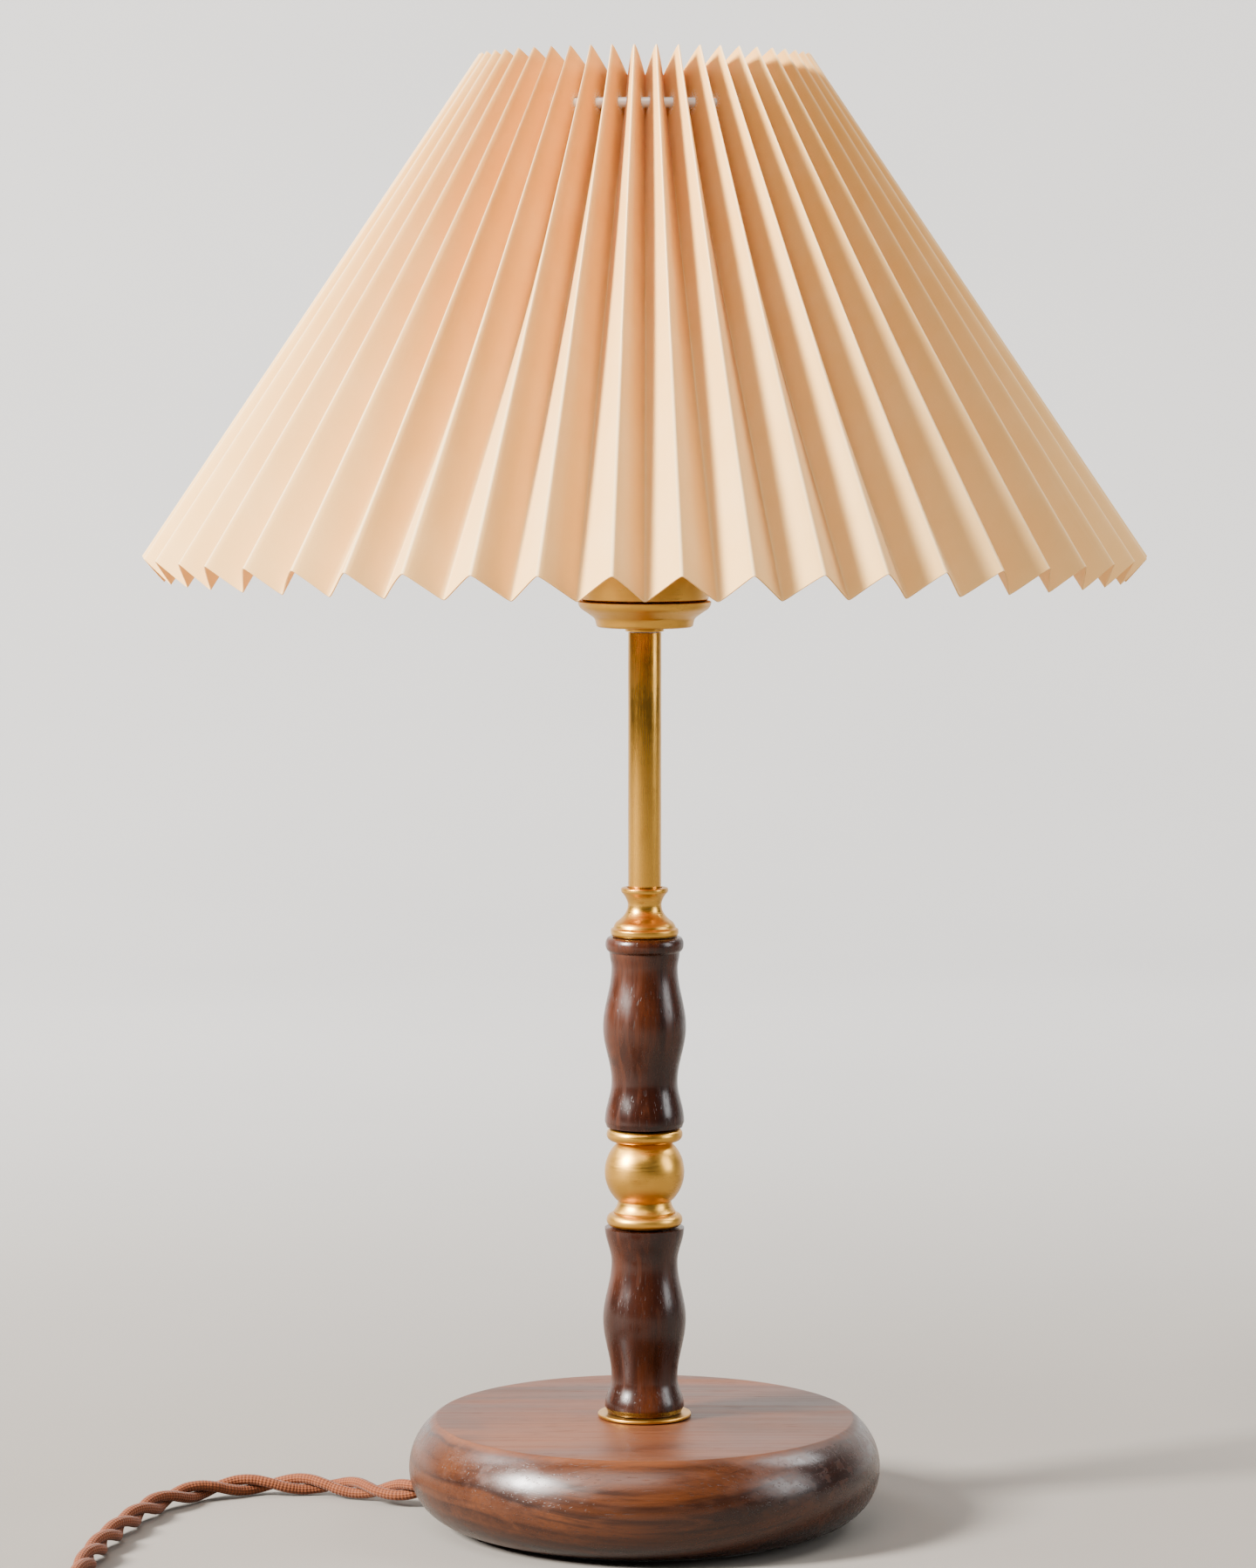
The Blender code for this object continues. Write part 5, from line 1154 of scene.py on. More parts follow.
# ---------------------------------------------------------------- base
@dataclass
class Base:
    """The wooden disc with a sharp rim round its flat top, and the felt under it."""

    radius: float = 0.0714
    flat: float = 0.0632
    height: float = 0.0305
    widest: float = 0.0155
    z: float = 0.0015
    recess: float = 0.0460
    depth: float = 0.0135
    bore: float = 0.0043
    felt: float = 0.0540
    cord_at: float = math.radians(168)
    cord_z: float = 0.0068

    def outline(self) -> Outline:
        """The side from the flat's edge down to the underside."""
        rise, inset = self.height - self.widest, self.radius - self.flat
        upper = (inset ** 2 + rise ** 2) / (2 * inset)
        centre = self.radius - upper
        start = math.degrees(math.atan2(rise, self.flat - centre))
        side = arc((centre, self.widest), upper, start, 0, 22)
        return side + arc((self.radius - self.widest, self.widest), self.widest, 0, -90, 26)[1:]

    def drill(self, along: float, across: float, radius: float) -> bpy.types.Object:
        """A cutter for a screw's pilot hole, placed from the axis on the side where the cord leaves."""
        place = Matrix.Rotation(self.cord_at, 3, "Z") @ Vector((along, across, self.z + self.depth - 0.001))
        return rod("pilot", place, place + Vector((0, 0, 0.0080)), radius, 16)

    def build(self, made: Finishes) -> None:
        """Turns the disc, bores it, and lays the felt."""
        side = self.outline()
        edge = filleted([(self.flat - 0.004, self.height), side[0], side[1]], 0.00045, 5, closed=False)
        profile = [(self.bore + 0.0004, self.height), *edge[:-1], *side[1:]]
        profile += [(self.recess, 0.0), (self.recess, self.depth), (self.bore, self.depth),
                    (self.bore, self.height - 0.0004)]
        disc = turned("base_disc", profile, self.z, 192)
        out = Vector((math.cos(self.cord_at), math.sin(self.cord_at), 0.0))
        hole = rod("cord_hole", out * 0.040 + Vector((0, 0, self.cord_z)),
                   out * 0.082 + Vector((0, 0, self.cord_z)), 0.0038, 32)
        pilots = [self.drill(0.0, 0.0305, 0.0017), self.drill(0.0, -0.0305, 0.0017),
                  self.drill(0.030, 0.0086, 0.0017), self.drill(0.030, -0.0086, 0.0017)]
        cut(disc, hole, *pilots, degrees=28)
        dress(disc, made.board, Body.LAMP, Slot.WALNUT, ("base_body",))
        thick, soft = 0.0012, 0.0004
        felt = [(0.0, thick), (self.felt - soft, thick), (self.felt, thick - soft), (self.felt, soft),
                (self.felt - soft, 0.0), (0.0, 0.0)]
        dress(turned("felt_disc", felt, 0.0, 128, closed=False), made.felt, Body.LAMP, Slot.FELT,
              ("base_felt",))


# ---------------------------------------------------------------- stem
@dataclass
class Stem:
    """Two turned spindles with a brass ball between them, a bell ferrule and a tube."""

    bore: float = 0.0043
    washer: float = 0.0141
    belly: float = 0.01255
    waist: float = 0.0100
    end: float = 0.0120
    lower: float = 0.0564
    upper: float = 0.0575
    ball_height: float = 0.0302
    ball: float = 0.01205
    flange: float = 0.0115
    ferrule: float = 0.0147
    foot: float = 0.0102
    neck: float = 0.0051
    rim: float = 0.0071
    tube: float = 0.0050
    tube_length: float = 0.0786

    def bored(self, outline: Outline) -> Outline:
        """An outline from top to bottom closed by the pipe's hole."""
        return [(self.bore, outline[0][1]), *outline, (self.bore, outline[-1][1])]

    def lower_outline(self) -> Outline:
        """The lower spindle from top to bottom."""
        shares = (0.0, 0.035, 0.185, 0.505, 0.815, 1.0)
        radii = (self.end - 0.0008, self.end, self.waist, self.belly, self.waist, self.end)
        return swell([(self.lower * s, r) for s, r in zip(shares, radii)])

    def upper_outline(self) -> Outline:
        """The upper spindle from top to bottom, with a roll at its head."""
        bead, bulge, neck = 0.0022, 0.0013, self.end - 0.0015
        middle = self.upper - bead
        roll = [(neck + r, middle + z * bead / bulge) for r, z in arc((0.0, 0.0), bulge, 78, -72, 12)]
        shares = (0.0, 0.030, 0.240, 0.525, 0.838, 0.920)
        radii = (self.end - 0.0005, self.end, self.waist, self.belly, self.waist, self.waist + 0.0006)
        return [(neck - 0.0004, self.upper), *roll, *swell([(self.upper * s, r) for s, r in zip(shares, radii)])]

    def ball_outline(self) -> Outline:
        """The ball and its two rolls from top to bottom."""
        middle, neck = self.ball_height * 0.553, math.radians(48)
        narrow, reach = self.ball * math.cos(neck), self.ball * math.sin(neck)
        top, low = self.ball_height - (middle + reach), middle - reach
        bulge = self.flange - narrow

        def roll(centre: float, half: float) -> Outline:
            """A full round roll."""
            return [(narrow + bulge * max(0.0, math.cos(a)) ** 0.6, centre + half * math.sin(a))
                    for a in (math.radians(d) for d in range(80, -81, -10))]

        foot = 0.0021
        flare = [(narrow + out, low - drop) for out, drop in (
            (0.0001, 0.0007), (0.0003, 0.0014), (0.0007, 0.0022), (0.0013, 0.0030))]
        outline = [(narrow + 0.0014, self.ball_height), *roll(self.ball_height - top * 0.46, top * 0.46)]
        outline += arc((0.0, middle), self.ball, math.degrees(neck), -math.degrees(neck), 28)
        return [*outline, *flare, *roll(foot, foot), (narrow + 0.0014, 0.0)]

    def ferrule_outline(self) -> Outline:
        """The bell from its rim down to its foot."""
        top, foot, neck, rim = self.ferrule, self.foot, self.neck, self.rim
        lip = filleted([(rim - 0.0009, top), (rim, top - 0.0002), (rim, top - 0.0013),
                        (rim - 0.0008, top - 0.0022)], 0.0004, 5, closed=False)
        curve = [(rim - 0.0008, top - 0.0022), (neck + 0.0006, top - 0.0032), (neck, top - 0.0050),
                 (neck + 0.0003, top - 0.0070), (neck + 0.0016, top - 0.0090), (neck + 0.0034, top - 0.0105),
                 (foot - 0.0010, top - 0.0115)]
        bell = [(p.x, p.z) for p in smooth_route([(r, 0.0, z) for r, z in curve], 0.0004)]
        skirt = filleted([(foot - 0.0010, top - 0.0115), (foot - 0.0009, top - 0.0121), (foot, top - 0.0126),
                          (foot, top - 0.0140), (foot - 0.0004, 0.0)], 0.0004, 4, closed=False)
        return lip + bell[1:] + skirt[1:]

    def build(self, made: Finishes) -> None:
        """Turns each piece and stacks it."""
        washer = filleted([(self.bore, 0.001), (self.washer, 0.001), (self.washer, 0.0), (self.bore, 0.0)],
                          0.0004)
        lower_z = 0.0336
        for name, profile, z, finish, slot, node in (
                ("seat_disc", washer, 0.0323, made.brass, Slot.BRASS, "seat_washer"),
                ("spindle_low", self.bored(self.lower_outline()), lower_z, made.spindle, Slot.WALNUT,
                 "lower_spindle"),
                ("ball_piece", self.bored(self.ball_outline()), 0.0903, made.brass, Slot.BRASS, "brass_ball"),
                ("spindle_high", self.bored(self.upper_outline()), 0.1208, made.spindle, Slot.WALNUT,
                 "upper_spindle")):
            dress(turned(name, profile, z, 128, degrees=38), finish, Body.LAMP, slot, (node,))
        self.make_ferrule(made)
        wall, soft = 0.0006, 0.00015
        tube = filleted([(self.tube - wall, self.tube_length), (self.tube, self.tube_length),
                         (self.tube, 0.0), (self.tube - wall, 0.0)], soft, 3)
        dress(turned("tube", tube, 0.1914, 96), made.drawn_brass, Body.LAMP, Slot.BRASS, ("stem_tube",))
        collar = filleted([(self.bore, 0.001), (0.0058, 0.001), (0.0058, 0.0), (self.bore, 0.0)], 0.0003)
        dress(turned("collar", collar, 0.2703, 96), made.brass, Body.LAMP, Slot.BRASS, ("cup_collar",))

    def make_ferrule(self, made: Finishes) -> None:
        """The bell with its socket, and the grub screw in its back."""
        z, socket, depth = 0.1786, self.tube + 0.0003, 0.0022
        profile = [(socket, self.ferrule), *self.ferrule_outline(), (self.bore, 0.0),
                   (self.bore, self.ferrule - depth), (socket, self.ferrule - depth)]
        bell = turned("bell_ferrule", profile, z, 128, degrees=38)
        grub_z = z + 0.0016
        cut(bell, rod("grub_hole", (0, 0.0033, grub_z), (0, 0.0146, grub_z), 0.0013, 24), degrees=38)
        dress(bell, made.brass, Body.LAMP, Slot.BRASS, ("ferrule",))
        grub = rod("grub_screw", (0, 0.0043, grub_z), (0, 0.0096, grub_z), 0.0010, 24)
        cut(grub, rod("hex", (0, 0.0083, grub_z), (0, 0.0110, grub_z), 0.00055, 6))
        dress(grub, made.steel, Body.LAMP, Slot.STEEL, ("ferrule_grub_screw",))


# ---------------------------------------------------------------- lampholder
@dataclass
class Lampholder:
    """A flared cup with the holder in it, whose threaded skirt carries two knurled rings."""

    bore: float = 0.0043
    cup_floor: float = 0.0146
    cup_rim: float = 0.0200
    cup_height: float = 0.0076
    cup_wall: float = 0.0010
    radius: float = 0.0192
    wall: float = 0.0009
    cap_height: float = 0.0262
    skirt_height: float = 0.0235
    skirt_pitch: float = 0.0015
    ring: float = 0.0235
    ring_height: float = 0.0035
    knurls: int = 90

    def cup_profile(self) -> Outline:
        """The flared cup's section."""
        shares = ((1.00, 1.00), (0.86, 0.96), (0.72, 0.82), (0.52, 0.42), (0.34, 0.10), (0.12, 0.00))

        def side(inset: float) -> Outline:
            """The flare from rim to floor, moved inwards."""
            reach = self.cup_rim - self.cup_floor
            knots = [(self.cup_floor + reach * a - inset, 0.0, self.cup_height * up) for up, a in shares]
            return [(p.x, p.z) for p in smooth_route(knots, 0.0004)]

        outside = side(0.0) + [(self.cup_floor - 0.0001, 0.0004), (self.cup_floor - 0.0006, 0.0)]
        inside = [p for p in side(self.cup_wall) if p[1] > self.cup_wall + 0.0008][::-1]
        lip = (self.cup_rim - self.cup_wall / 2, self.cup_height + 0.0002)
        return [*outside, (self.bore, 0.0), (self.bore, self.cup_wall),
                (self.cup_floor - self.cup_wall - 0.0006, self.cup_wall), *inside, lip]

    def cap_profile(self) -> Outline:
        """The lower half of the holder."""
        foot, cone, wall, radius, top = 0.0095, 0.0072, self.wall, self.radius, self.cap_height
        outside = [(radius, top), (radius, top - 0.0040), (radius - 0.0004, top - 0.0044),
                   (radius - 0.0004, top - 0.0050), (radius, top - 0.0054), (radius, cone),
                   (radius - 0.0012, cone - 0.0010), (radius - 0.0042, 0.0036), (radius - 0.0072, 0.0009),
                   (foot, 0.0)]
        bush = [(self.bore, 0.0), (self.bore, 0.0058), (0.0068, 0.0058), (0.0068, wall)]
        inside = [(foot, wall), (radius - 0.0075, wall + 0.0008), (radius - 0.0048, 0.0046),
                  (radius - wall, cone + 0.0006), (radius - wall, top)]
        return filleted(outside + bush + inside, 0.0003, 3)

    def make_skirt(self, made: Finishes) -> None:
        """The upper half, with a fine thread outside."""
        top, outer, inner = self.skirt_height, self.radius + 0.0002, self.radius - 0.0016
        rows = [top - 0.0008 - i * 0.00025 for i in range(int((top - 0.0008) / 0.00025) + 1)]
        profile = [(inner, top), (outer - 0.0008, top), *((outer, z) for z in rows), (outer, 0.0), (inner, 0.0)]

        def thread(angle: float, height: float) -> float:
            """A V thread that fades at both ends."""
            phase = (height / self.skirt_pitch - angle / TURN) % 1.0
            ends = min(1.0, max(0.0, (top - 0.0012 - height) / 0.0010), max(0.0, height / 0.0010))
            return -0.00042 * ends * abs(2 * phase - 1)

        def relief(angle: float, height: float) -> float:
            """The thread on the outside only."""
            return thread(angle, height) if 0.0 < height < top - 0.0004 else 0.0

        skirt = turned("skirt", profile, 0.2994, 120, relief=relief, degrees=60)
        dress(skirt, made.brass, Body.LAMP, Slot.BRASS, ("holder_skirt",))

    def make_ring(self, name: str, z: float, node: str, made: Finishes) -> None:
        """A ring nut with a knurl of small rounded ribs round it.

        Args:
            name: the piece's name.
            z: the height of its underside.
            node: the CAD node that it stands for.
            made: the finishes.
        """
        inner, outer, height = self.radius + 0.0007, self.ring - 0.00035, self.ring_height
        hoop = turned(name + "_hoop", filleted(
            [(inner, height), (outer, height), (outer, 0.0), (inner, 0.0)], 0.0004, 4), z, 180)
        g = Shaper(name + "_knurl")
        count, radius = g.size("Count", self.knurls), g.size("Radius", outer)
        tall, width = g.size("Height", height - 0.0009), g.size("Width", 0.0011)
        level, brass = g.size("Level", z + height / 2), g.size("Finish", made.brass)
        spots = g.add("GeometryNodeMeshCircle", {"Vertices": count, "Radius": radius}).outputs[0]
        lift = g.vector(0.0, 0.0, level)
        spots = g.add("GeometryNodeSetPosition", {"Geometry": spots, "Offset": lift}).outputs[0]
        index = g.add("GeometryNodeInputIndex").outputs[0]
        angle = g.math("MULTIPLY", g.math("DIVIDE", index, count), TURN)
        turn = g.add("FunctionNodeEulerToRotation", {0: g.vector(0.0, 0.0, angle)}).outputs[0]
        rib = g.add("GeometryNodeMeshCylinder", {
            "Vertices": 8, "Radius": g.math("MULTIPLY", width, 0.5), "Depth": tall}).outputs[0]
        ribs = g.add("GeometryNodeInstanceOnPoints", {
            "Points": spots, "Instance": rib, "Rotation": turn}).outputs[0]
        both = g.add("GeometryNodeJoinGeometry")
        g.tree.links.new(ribs, both.inputs[0])
        g.tree.links.new(g.entry.outputs[0], both.inputs[0])
        ring = g.bake(name, hoop.data, both.outputs[0], brass)
        bpy.data.objects.remove(hoop)
        smoothed(ring.data, 40)
        dress(ring, None, Body.LAMP, Slot.BRASS, (node,))

    def build(self, made: Finishes) -> None:
        """Makes the cup, the holder's two halves, the shell and the rings."""
        cup = turned("cup", self.cup_profile(), 0.2716, 160, degrees=45)
        dress(cup, made.brass, Body.LAMP, Slot.BRASS, ("socket_cup",))
        cap = turned("lower_shell", self.cap_profile(), 0.2729, 144, degrees=38)
        dress(cap, made.brass, Body.LAMP, Slot.BRASS, ("holder_cap",))
        self.make_skirt(made)
        self.make_ring("ring_nut_low", 0.3039, "shade_nut_lower", made)
        self.make_ring("ring_nut_high", 0.3092, "shade_nut_upper", made)
        self.make_thread_shell(made)

    def make_thread_shell(self, made: Finishes) -> None:
        """The thin rolled shell that the bulb screws into."""
        inner, wall, height, pitch = 0.0137, 0.0008, 0.0232, 0.003629
        rows = [height * i / 64 for i in range(65)]
        profile = [(inner + wall - 0.0002, z) for z in rows[::-1]] + [(inner, z) for z in rows]

        def relief(angle: float, z: float) -> float:
            """The rolled thread, which fades at both ends."""
            ends = min(1.0, z / 0.002, (height - z) / 0.002)
            return -0.0002 * ends * (1 + math.cos(TURN * (z / pitch - angle / TURN)))

        shell = turned("rolled_shell", profile, 0.2967, 72, relief=relief, degrees=60)
        dress(shell, made.brass, Body.LAMP, Slot.BRASS, ("thread_shell",))


# ---------------------------------------------------------------- bulb
@dataclass
class Bulb:
    """A small opal globe on a threaded cap."""

    radius: float = 0.0225
    length: float = 0.0780
    neck: float = 0.0120
    cap: float = 0.0131
    cap_height: float = 0.0215
    depth: float = 0.0007
    pitch: float = 0.003629
    z: float = 0.2986

    def build(self, made: Finishes) -> None:
        """Makes the cap and the glass, which sit on their own contact and foot."""
        cap_z = self.z + 0.0010 + 0.0048 + 2 * 0.0003
        root, top = self.cap - self.depth, self.cap_height
        rows = [top * i / 90 for i in range(91)]

        def relief(angle: float, z: float) -> float:
            """The rolled thread, which fades towards the collar at the top."""
            ends = min(1.0, max(0.0, z / 0.0015), max(0.0, (top - 0.0028 - z) / 0.0016))
            return self.depth * ends * (0.5 + 0.5 * math.cos(TURN * (z / self.pitch - angle / TURN)))

        profile = [(root, z) for z in rows[::-1]] + [(root - 0.0006, z) for z in rows]
        shell = turned("bulb_thread", profile, cap_z, 84, relief=relief, degrees=60)
        dress(shell, made.nickel, Body.BULB, Slot.NICKEL, ("bulb_cap",))

        glass_z = cap_z + 0.0003
        pole = self.z + self.length - glass_z
        centre, seat = pole - self.radius, root - 0.0006 - 0.0003

        def side(inset: float) -> Outline:
            """The glass from its pole down to its seat in the cap."""
            globe = arc((0.0, centre), self.radius - inset, 90, -52, 40)
            knots = [(r, 0.0, z) for r, z in globe[-2:]]
            knots += [(self.neck + 0.0004 - inset, 0.0, centre - self.radius * 0.93),
                      (seat - inset, 0.0, centre - self.radius * 1.10), (seat - inset, 0.0, 0.0120)]
            waist = [(p.x, p.z) for p in smooth_route(knots, 0.0012)]
            return [(0.0, pole - inset), *globe[1:-2], *waist, (seat - inset, 0.0)]

        glass = turned("globe", side(0.0) + side(0.0009)[::-1], glass_z, 128, closed=False, degrees=45)
        dress(glass, made.opal, Body.BULB, Slot.OPAL, ("bulb_glass",))


# ---------------------------------------------------------------- shade
@dataclass
class PleatedShade:
    """A cone of folded sheet, strung on a wire ring that three arms carry."""

    pleats: int = 48
    foot: tuple[float, float] = (0.1500, 0.2935)  # radius and height of an outer fold's ends
    head: tuple[float, float] = (0.0495, 0.4420)
    foot_in: tuple[float, float] = (0.1430, 0.2855)  # and of an inner fold's
    head_in: tuple[float, float] = (0.0383, 0.4325)
    thick: float = 0.00036
    face: float = 0.01447
    height: float = 0.1800
    ring_z: float = 0.4250
    ring_radius: float = 0.04919
    wire: float = 0.0015
    arm_wire: float = 0.00125
    fitter: float = 0.0250
    fitter_z: float = 0.3077
    columns: int = 8
    rows: int = 18
    seed: int = 7

    def finish(self) -> PleatedSheet:
        """The sheet's material, which knows where the ring goes through."""
        return PleatedSheet("pleated_sheet", self.face, 0.9288 * self.height, 0.316 * self.face)

    def fold(self, g: Shaper, index: Any, up: Any) -> tuple[Any, Any, Any]:
        """A fold's angle, radius and height, with a little of the unevenness of hand folding.

        Args:
            g: the tree that it is written in.
            index: which fold, counted from the front; odd ones stand out.
            up: the share of the way from foot to head.

        Returns:
            The three sockets.
        """
        folds = float(2 * self.pleats)
        ident = g.math("FLOORED_MODULO", index, folds)
        outward = g.math("FLOORED_MODULO", index, 2.0)

        def wander(amount: str, size: float, salt: int) -> Any:
            """An even spread about nothing, the same for a fold wherever it is asked."""
            spread = g.size(amount, size) if amount not in self.named else self.named[amount]
            self.named[amount] = spread
            unit = g.add("FunctionNodeRandomValue", {2: -1.0, 3: 1.0, 7: ident, 8: self.seed + salt})
            return g.math("MULTIPLY", unit.outputs[1], spread)

        def between(low: float, high: float) -> Any:
            """A number that goes from foot to head."""
            return g.math("MULTIPLY_ADD", up, high - low, low)

        def either(inner: Any, outer: Any) -> Any:
            """The inner fold's number or the outer one's."""
            return g.math("ADD", g.math("MULTIPLY", inner, g.math("SUBTRACT", 1.0, outward)),
                          g.math("MULTIPLY", outer, outward))

        foot_share = g.math("SUBTRACT", 1.0, up)
        angle = g.math("MULTIPLY", index, TURN / folds)
        angle = g.math("ADD", angle, g.math("MULTIPLY", wander("Angle Wander", 0.0050, 1),
                                            g.math("MULTIPLY_ADD", foot_share, 0.7, 0.3)))
        radius = either(between(self.foot_in[0], self.head_in[0]), between(self.foot[0], self.head[0]))
        radius = g.math("ADD", radius, g.math("MULTIPLY", wander("Radius Wander", 0.0005, 2),
                                              g.math("MULTIPLY_ADD", foot_share, 0.8, 0.2)))
        height = either(between(self.foot_in[1], self.head_in[1]), between(self.foot[1], self.head[1]))
        return angle, radius, height

    def make_sheet(self, made: Finishes) -> bpy.types.Object:
        """The folded sheet, with a hole in each face where the ring runs."""
        self.named: dict[str, Any] = {}
        g = Shaper("pleats")
        folds = 2 * self.pleats
        count, rows = g.size("Columns", folds * self.columns + 1), g.size("Rows", self.rows + 1)
        roundness = g.size("Fold Roundness", 0.985)
        sheet = g.size("Finish", made.sheet)
        grid = g.add("GeometryNodeMeshGrid", {"Size X": 1.0, "Size Y": 1.0, "Vertices X": count,
                                              "Vertices Y": rows}).outputs[0]
        x, y, _ = g.parts(g.add("GeometryNodeInputPosition").outputs[0])
        up = g.math("ADD", y, 0.5)
        along = g.math("MULTIPLY", g.math("ADD", x, 0.5), float(folds))
        along = g.math("ADD", along, 0.00001)
        index = g.math("FLOOR", along)
        share = g.math("FRACT", along)
        # columns crowd towards the folds
        share = g.math("SUBTRACT", 0.5, g.math("MULTIPLY", 0.5, g.math(
            "COSINE", g.math("MULTIPLY", share, math.pi))))
        # and a fold turns round a small radius
        bent = g.math("COSINE", g.math("MULTIPLY", share, math.pi))
        bent = g.math("ARCCOSINE", g.math("MULTIPLY", bent, roundness))
        bent = g.math("DIVIDE", bent, math.pi)
        flat = g.vector(g.math("MULTIPLY", g.math("ADD", index, share), self.face),
                        g.math("MULTIPLY", up, self.height))
        grid = g.add("GeometryNodeStoreNamedAttribute", {"Geometry": grid, "Name": "Flat", "Value": flat},
                     data_type="FLOAT2", domain="CORNER").outputs[0]
        first = self.fold(g, index, up)
        second = self.fold(g, g.math("ADD", index, 1.0), up)
        # the sheet between two folds bellies a little
        belly = g.math("SINE", g.math("MULTIPLY", share, math.pi))

        def blended(a: Any, b: Any, t: Any) -> Any:
            """Part of the way from one number to another."""
            return g.math("MULTIPLY_ADD", g.math("SUBTRACT", b, a), t, a)

        angle = blended(first[0], second[0], share)
        radius, height = (blended(first[k], second[k], bent) for k in (1, 2))
        sag = g.add("FunctionNodeRandomValue", {2: -1.0, 3: 1.0, 7: index, 8: self.seed + 5}).outputs[1]
        sway = g.math("MULTIPLY", g.math("MULTIPLY", belly, sag), g.size("Belly", 0.0016))
        angle = g.math("ADD", angle, sway)
        place = g.vector(g.math("MULTIPLY", radius, g.math("SINE", angle)),
                         g.math("MULTIPLY", radius, g.math("MULTIPLY", g.math("COSINE", angle), -1.0)), height)
        grid = g.add("GeometryNodeSetPosition", {"Geometry": grid, "Position": place}).outputs[0]
        grid = g.add("GeometryNodeMergeByDistance", {"Geometry": grid, "Distance": 0.00001}).outputs[0]
        piece = g.bake("shade_sheet", None, grid, sheet)
        smoothed(piece.data, 180)
        wall = piece.modifiers.new("wall", "SOLIDIFY")
        wall.thickness = self.thick
        wall.offset = 0.0
        wall.use_even_offset = True
        baked(piece)
        cut(piece, self.hoop("ring_holes", self.wire + 0.00035, 192, 16), degrees=55)
        return dress(piece, None, Body.SHADE, Slot.PAPER, [f"shade_panel_{i}" for i in range(1, 5)])

    def hoop(self, name: str, wire: float, sides: int, around_wire: int) -> bpy.types.Object:
        """A wire ring about the axis where the sheet is strung."""
        section = [(self.ring_radius + wire * math.cos(a), wire * math.sin(a))
                   for a in (TURN * i / around_wire for i in range(around_wire))]
        return turned(name, section, self.ring_z, sides, degrees=60)

    def make_frame(self, made: Finishes) -> None:
        """The ring, the fitter and the three arms."""
        ring = self.hoop("wire_ring", self.wire, 240, 20)
        dress(ring, made.enamel, Body.SHADE, Slot.ENAMEL, ("shade_ring",))
        bore, thick = 0.0199, 0.0012
        fitter = filleted([(bore, thick), (self.fitter, thick), (self.fitter, 0.0), (bore, 0.0)], 0.0004)
        dress(turned("fitter", fitter, self.fitter_z, 144), made.enamel, Body.SHADE, Slot.ENAMEL,
              ("fitter_ring",))
        across = (0.0, 0.22, 0.47, 0.62, 0.75, 0.90, 1.0)
        rise = (0.0, 0.012, 0.085, 0.28, 0.55, 0.83, 1.0)
        start = (self.fitter + 0.0003, self.fitter_z + thick / 2)
        end = (self.ring_radius, self.ring_z - self.wire - 0.0003)
        for number, pleat in enumerate((8, 24, 40), 1):
            angle = TURN * (pleat + 0.5) / self.pleats
            knots = [around(angle, start[0] + (end[0] - start[0]) * a, start[1] + (end[1] - start[1]) * b)
                     for a, b in zip(across, rise)]
            arm = swept(f"arm_{number}", smooth_route(knots, 0.0030), self.arm_wire, 16)
            dress(arm, made.enamel, Body.SHADE, Slot.ENAMEL, (f"shade_arm_{number}",))

    def build(self, made: Finishes) -> None:
        """Makes the frame and folds the sheet over it."""
        self.make_frame(made)
        sheet = self.make_sheet(made)
        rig.sheet(sheet, flat=(2 * self.pleats * self.face, self.height), held="folded",
                 rests_on=["wire_ring"])


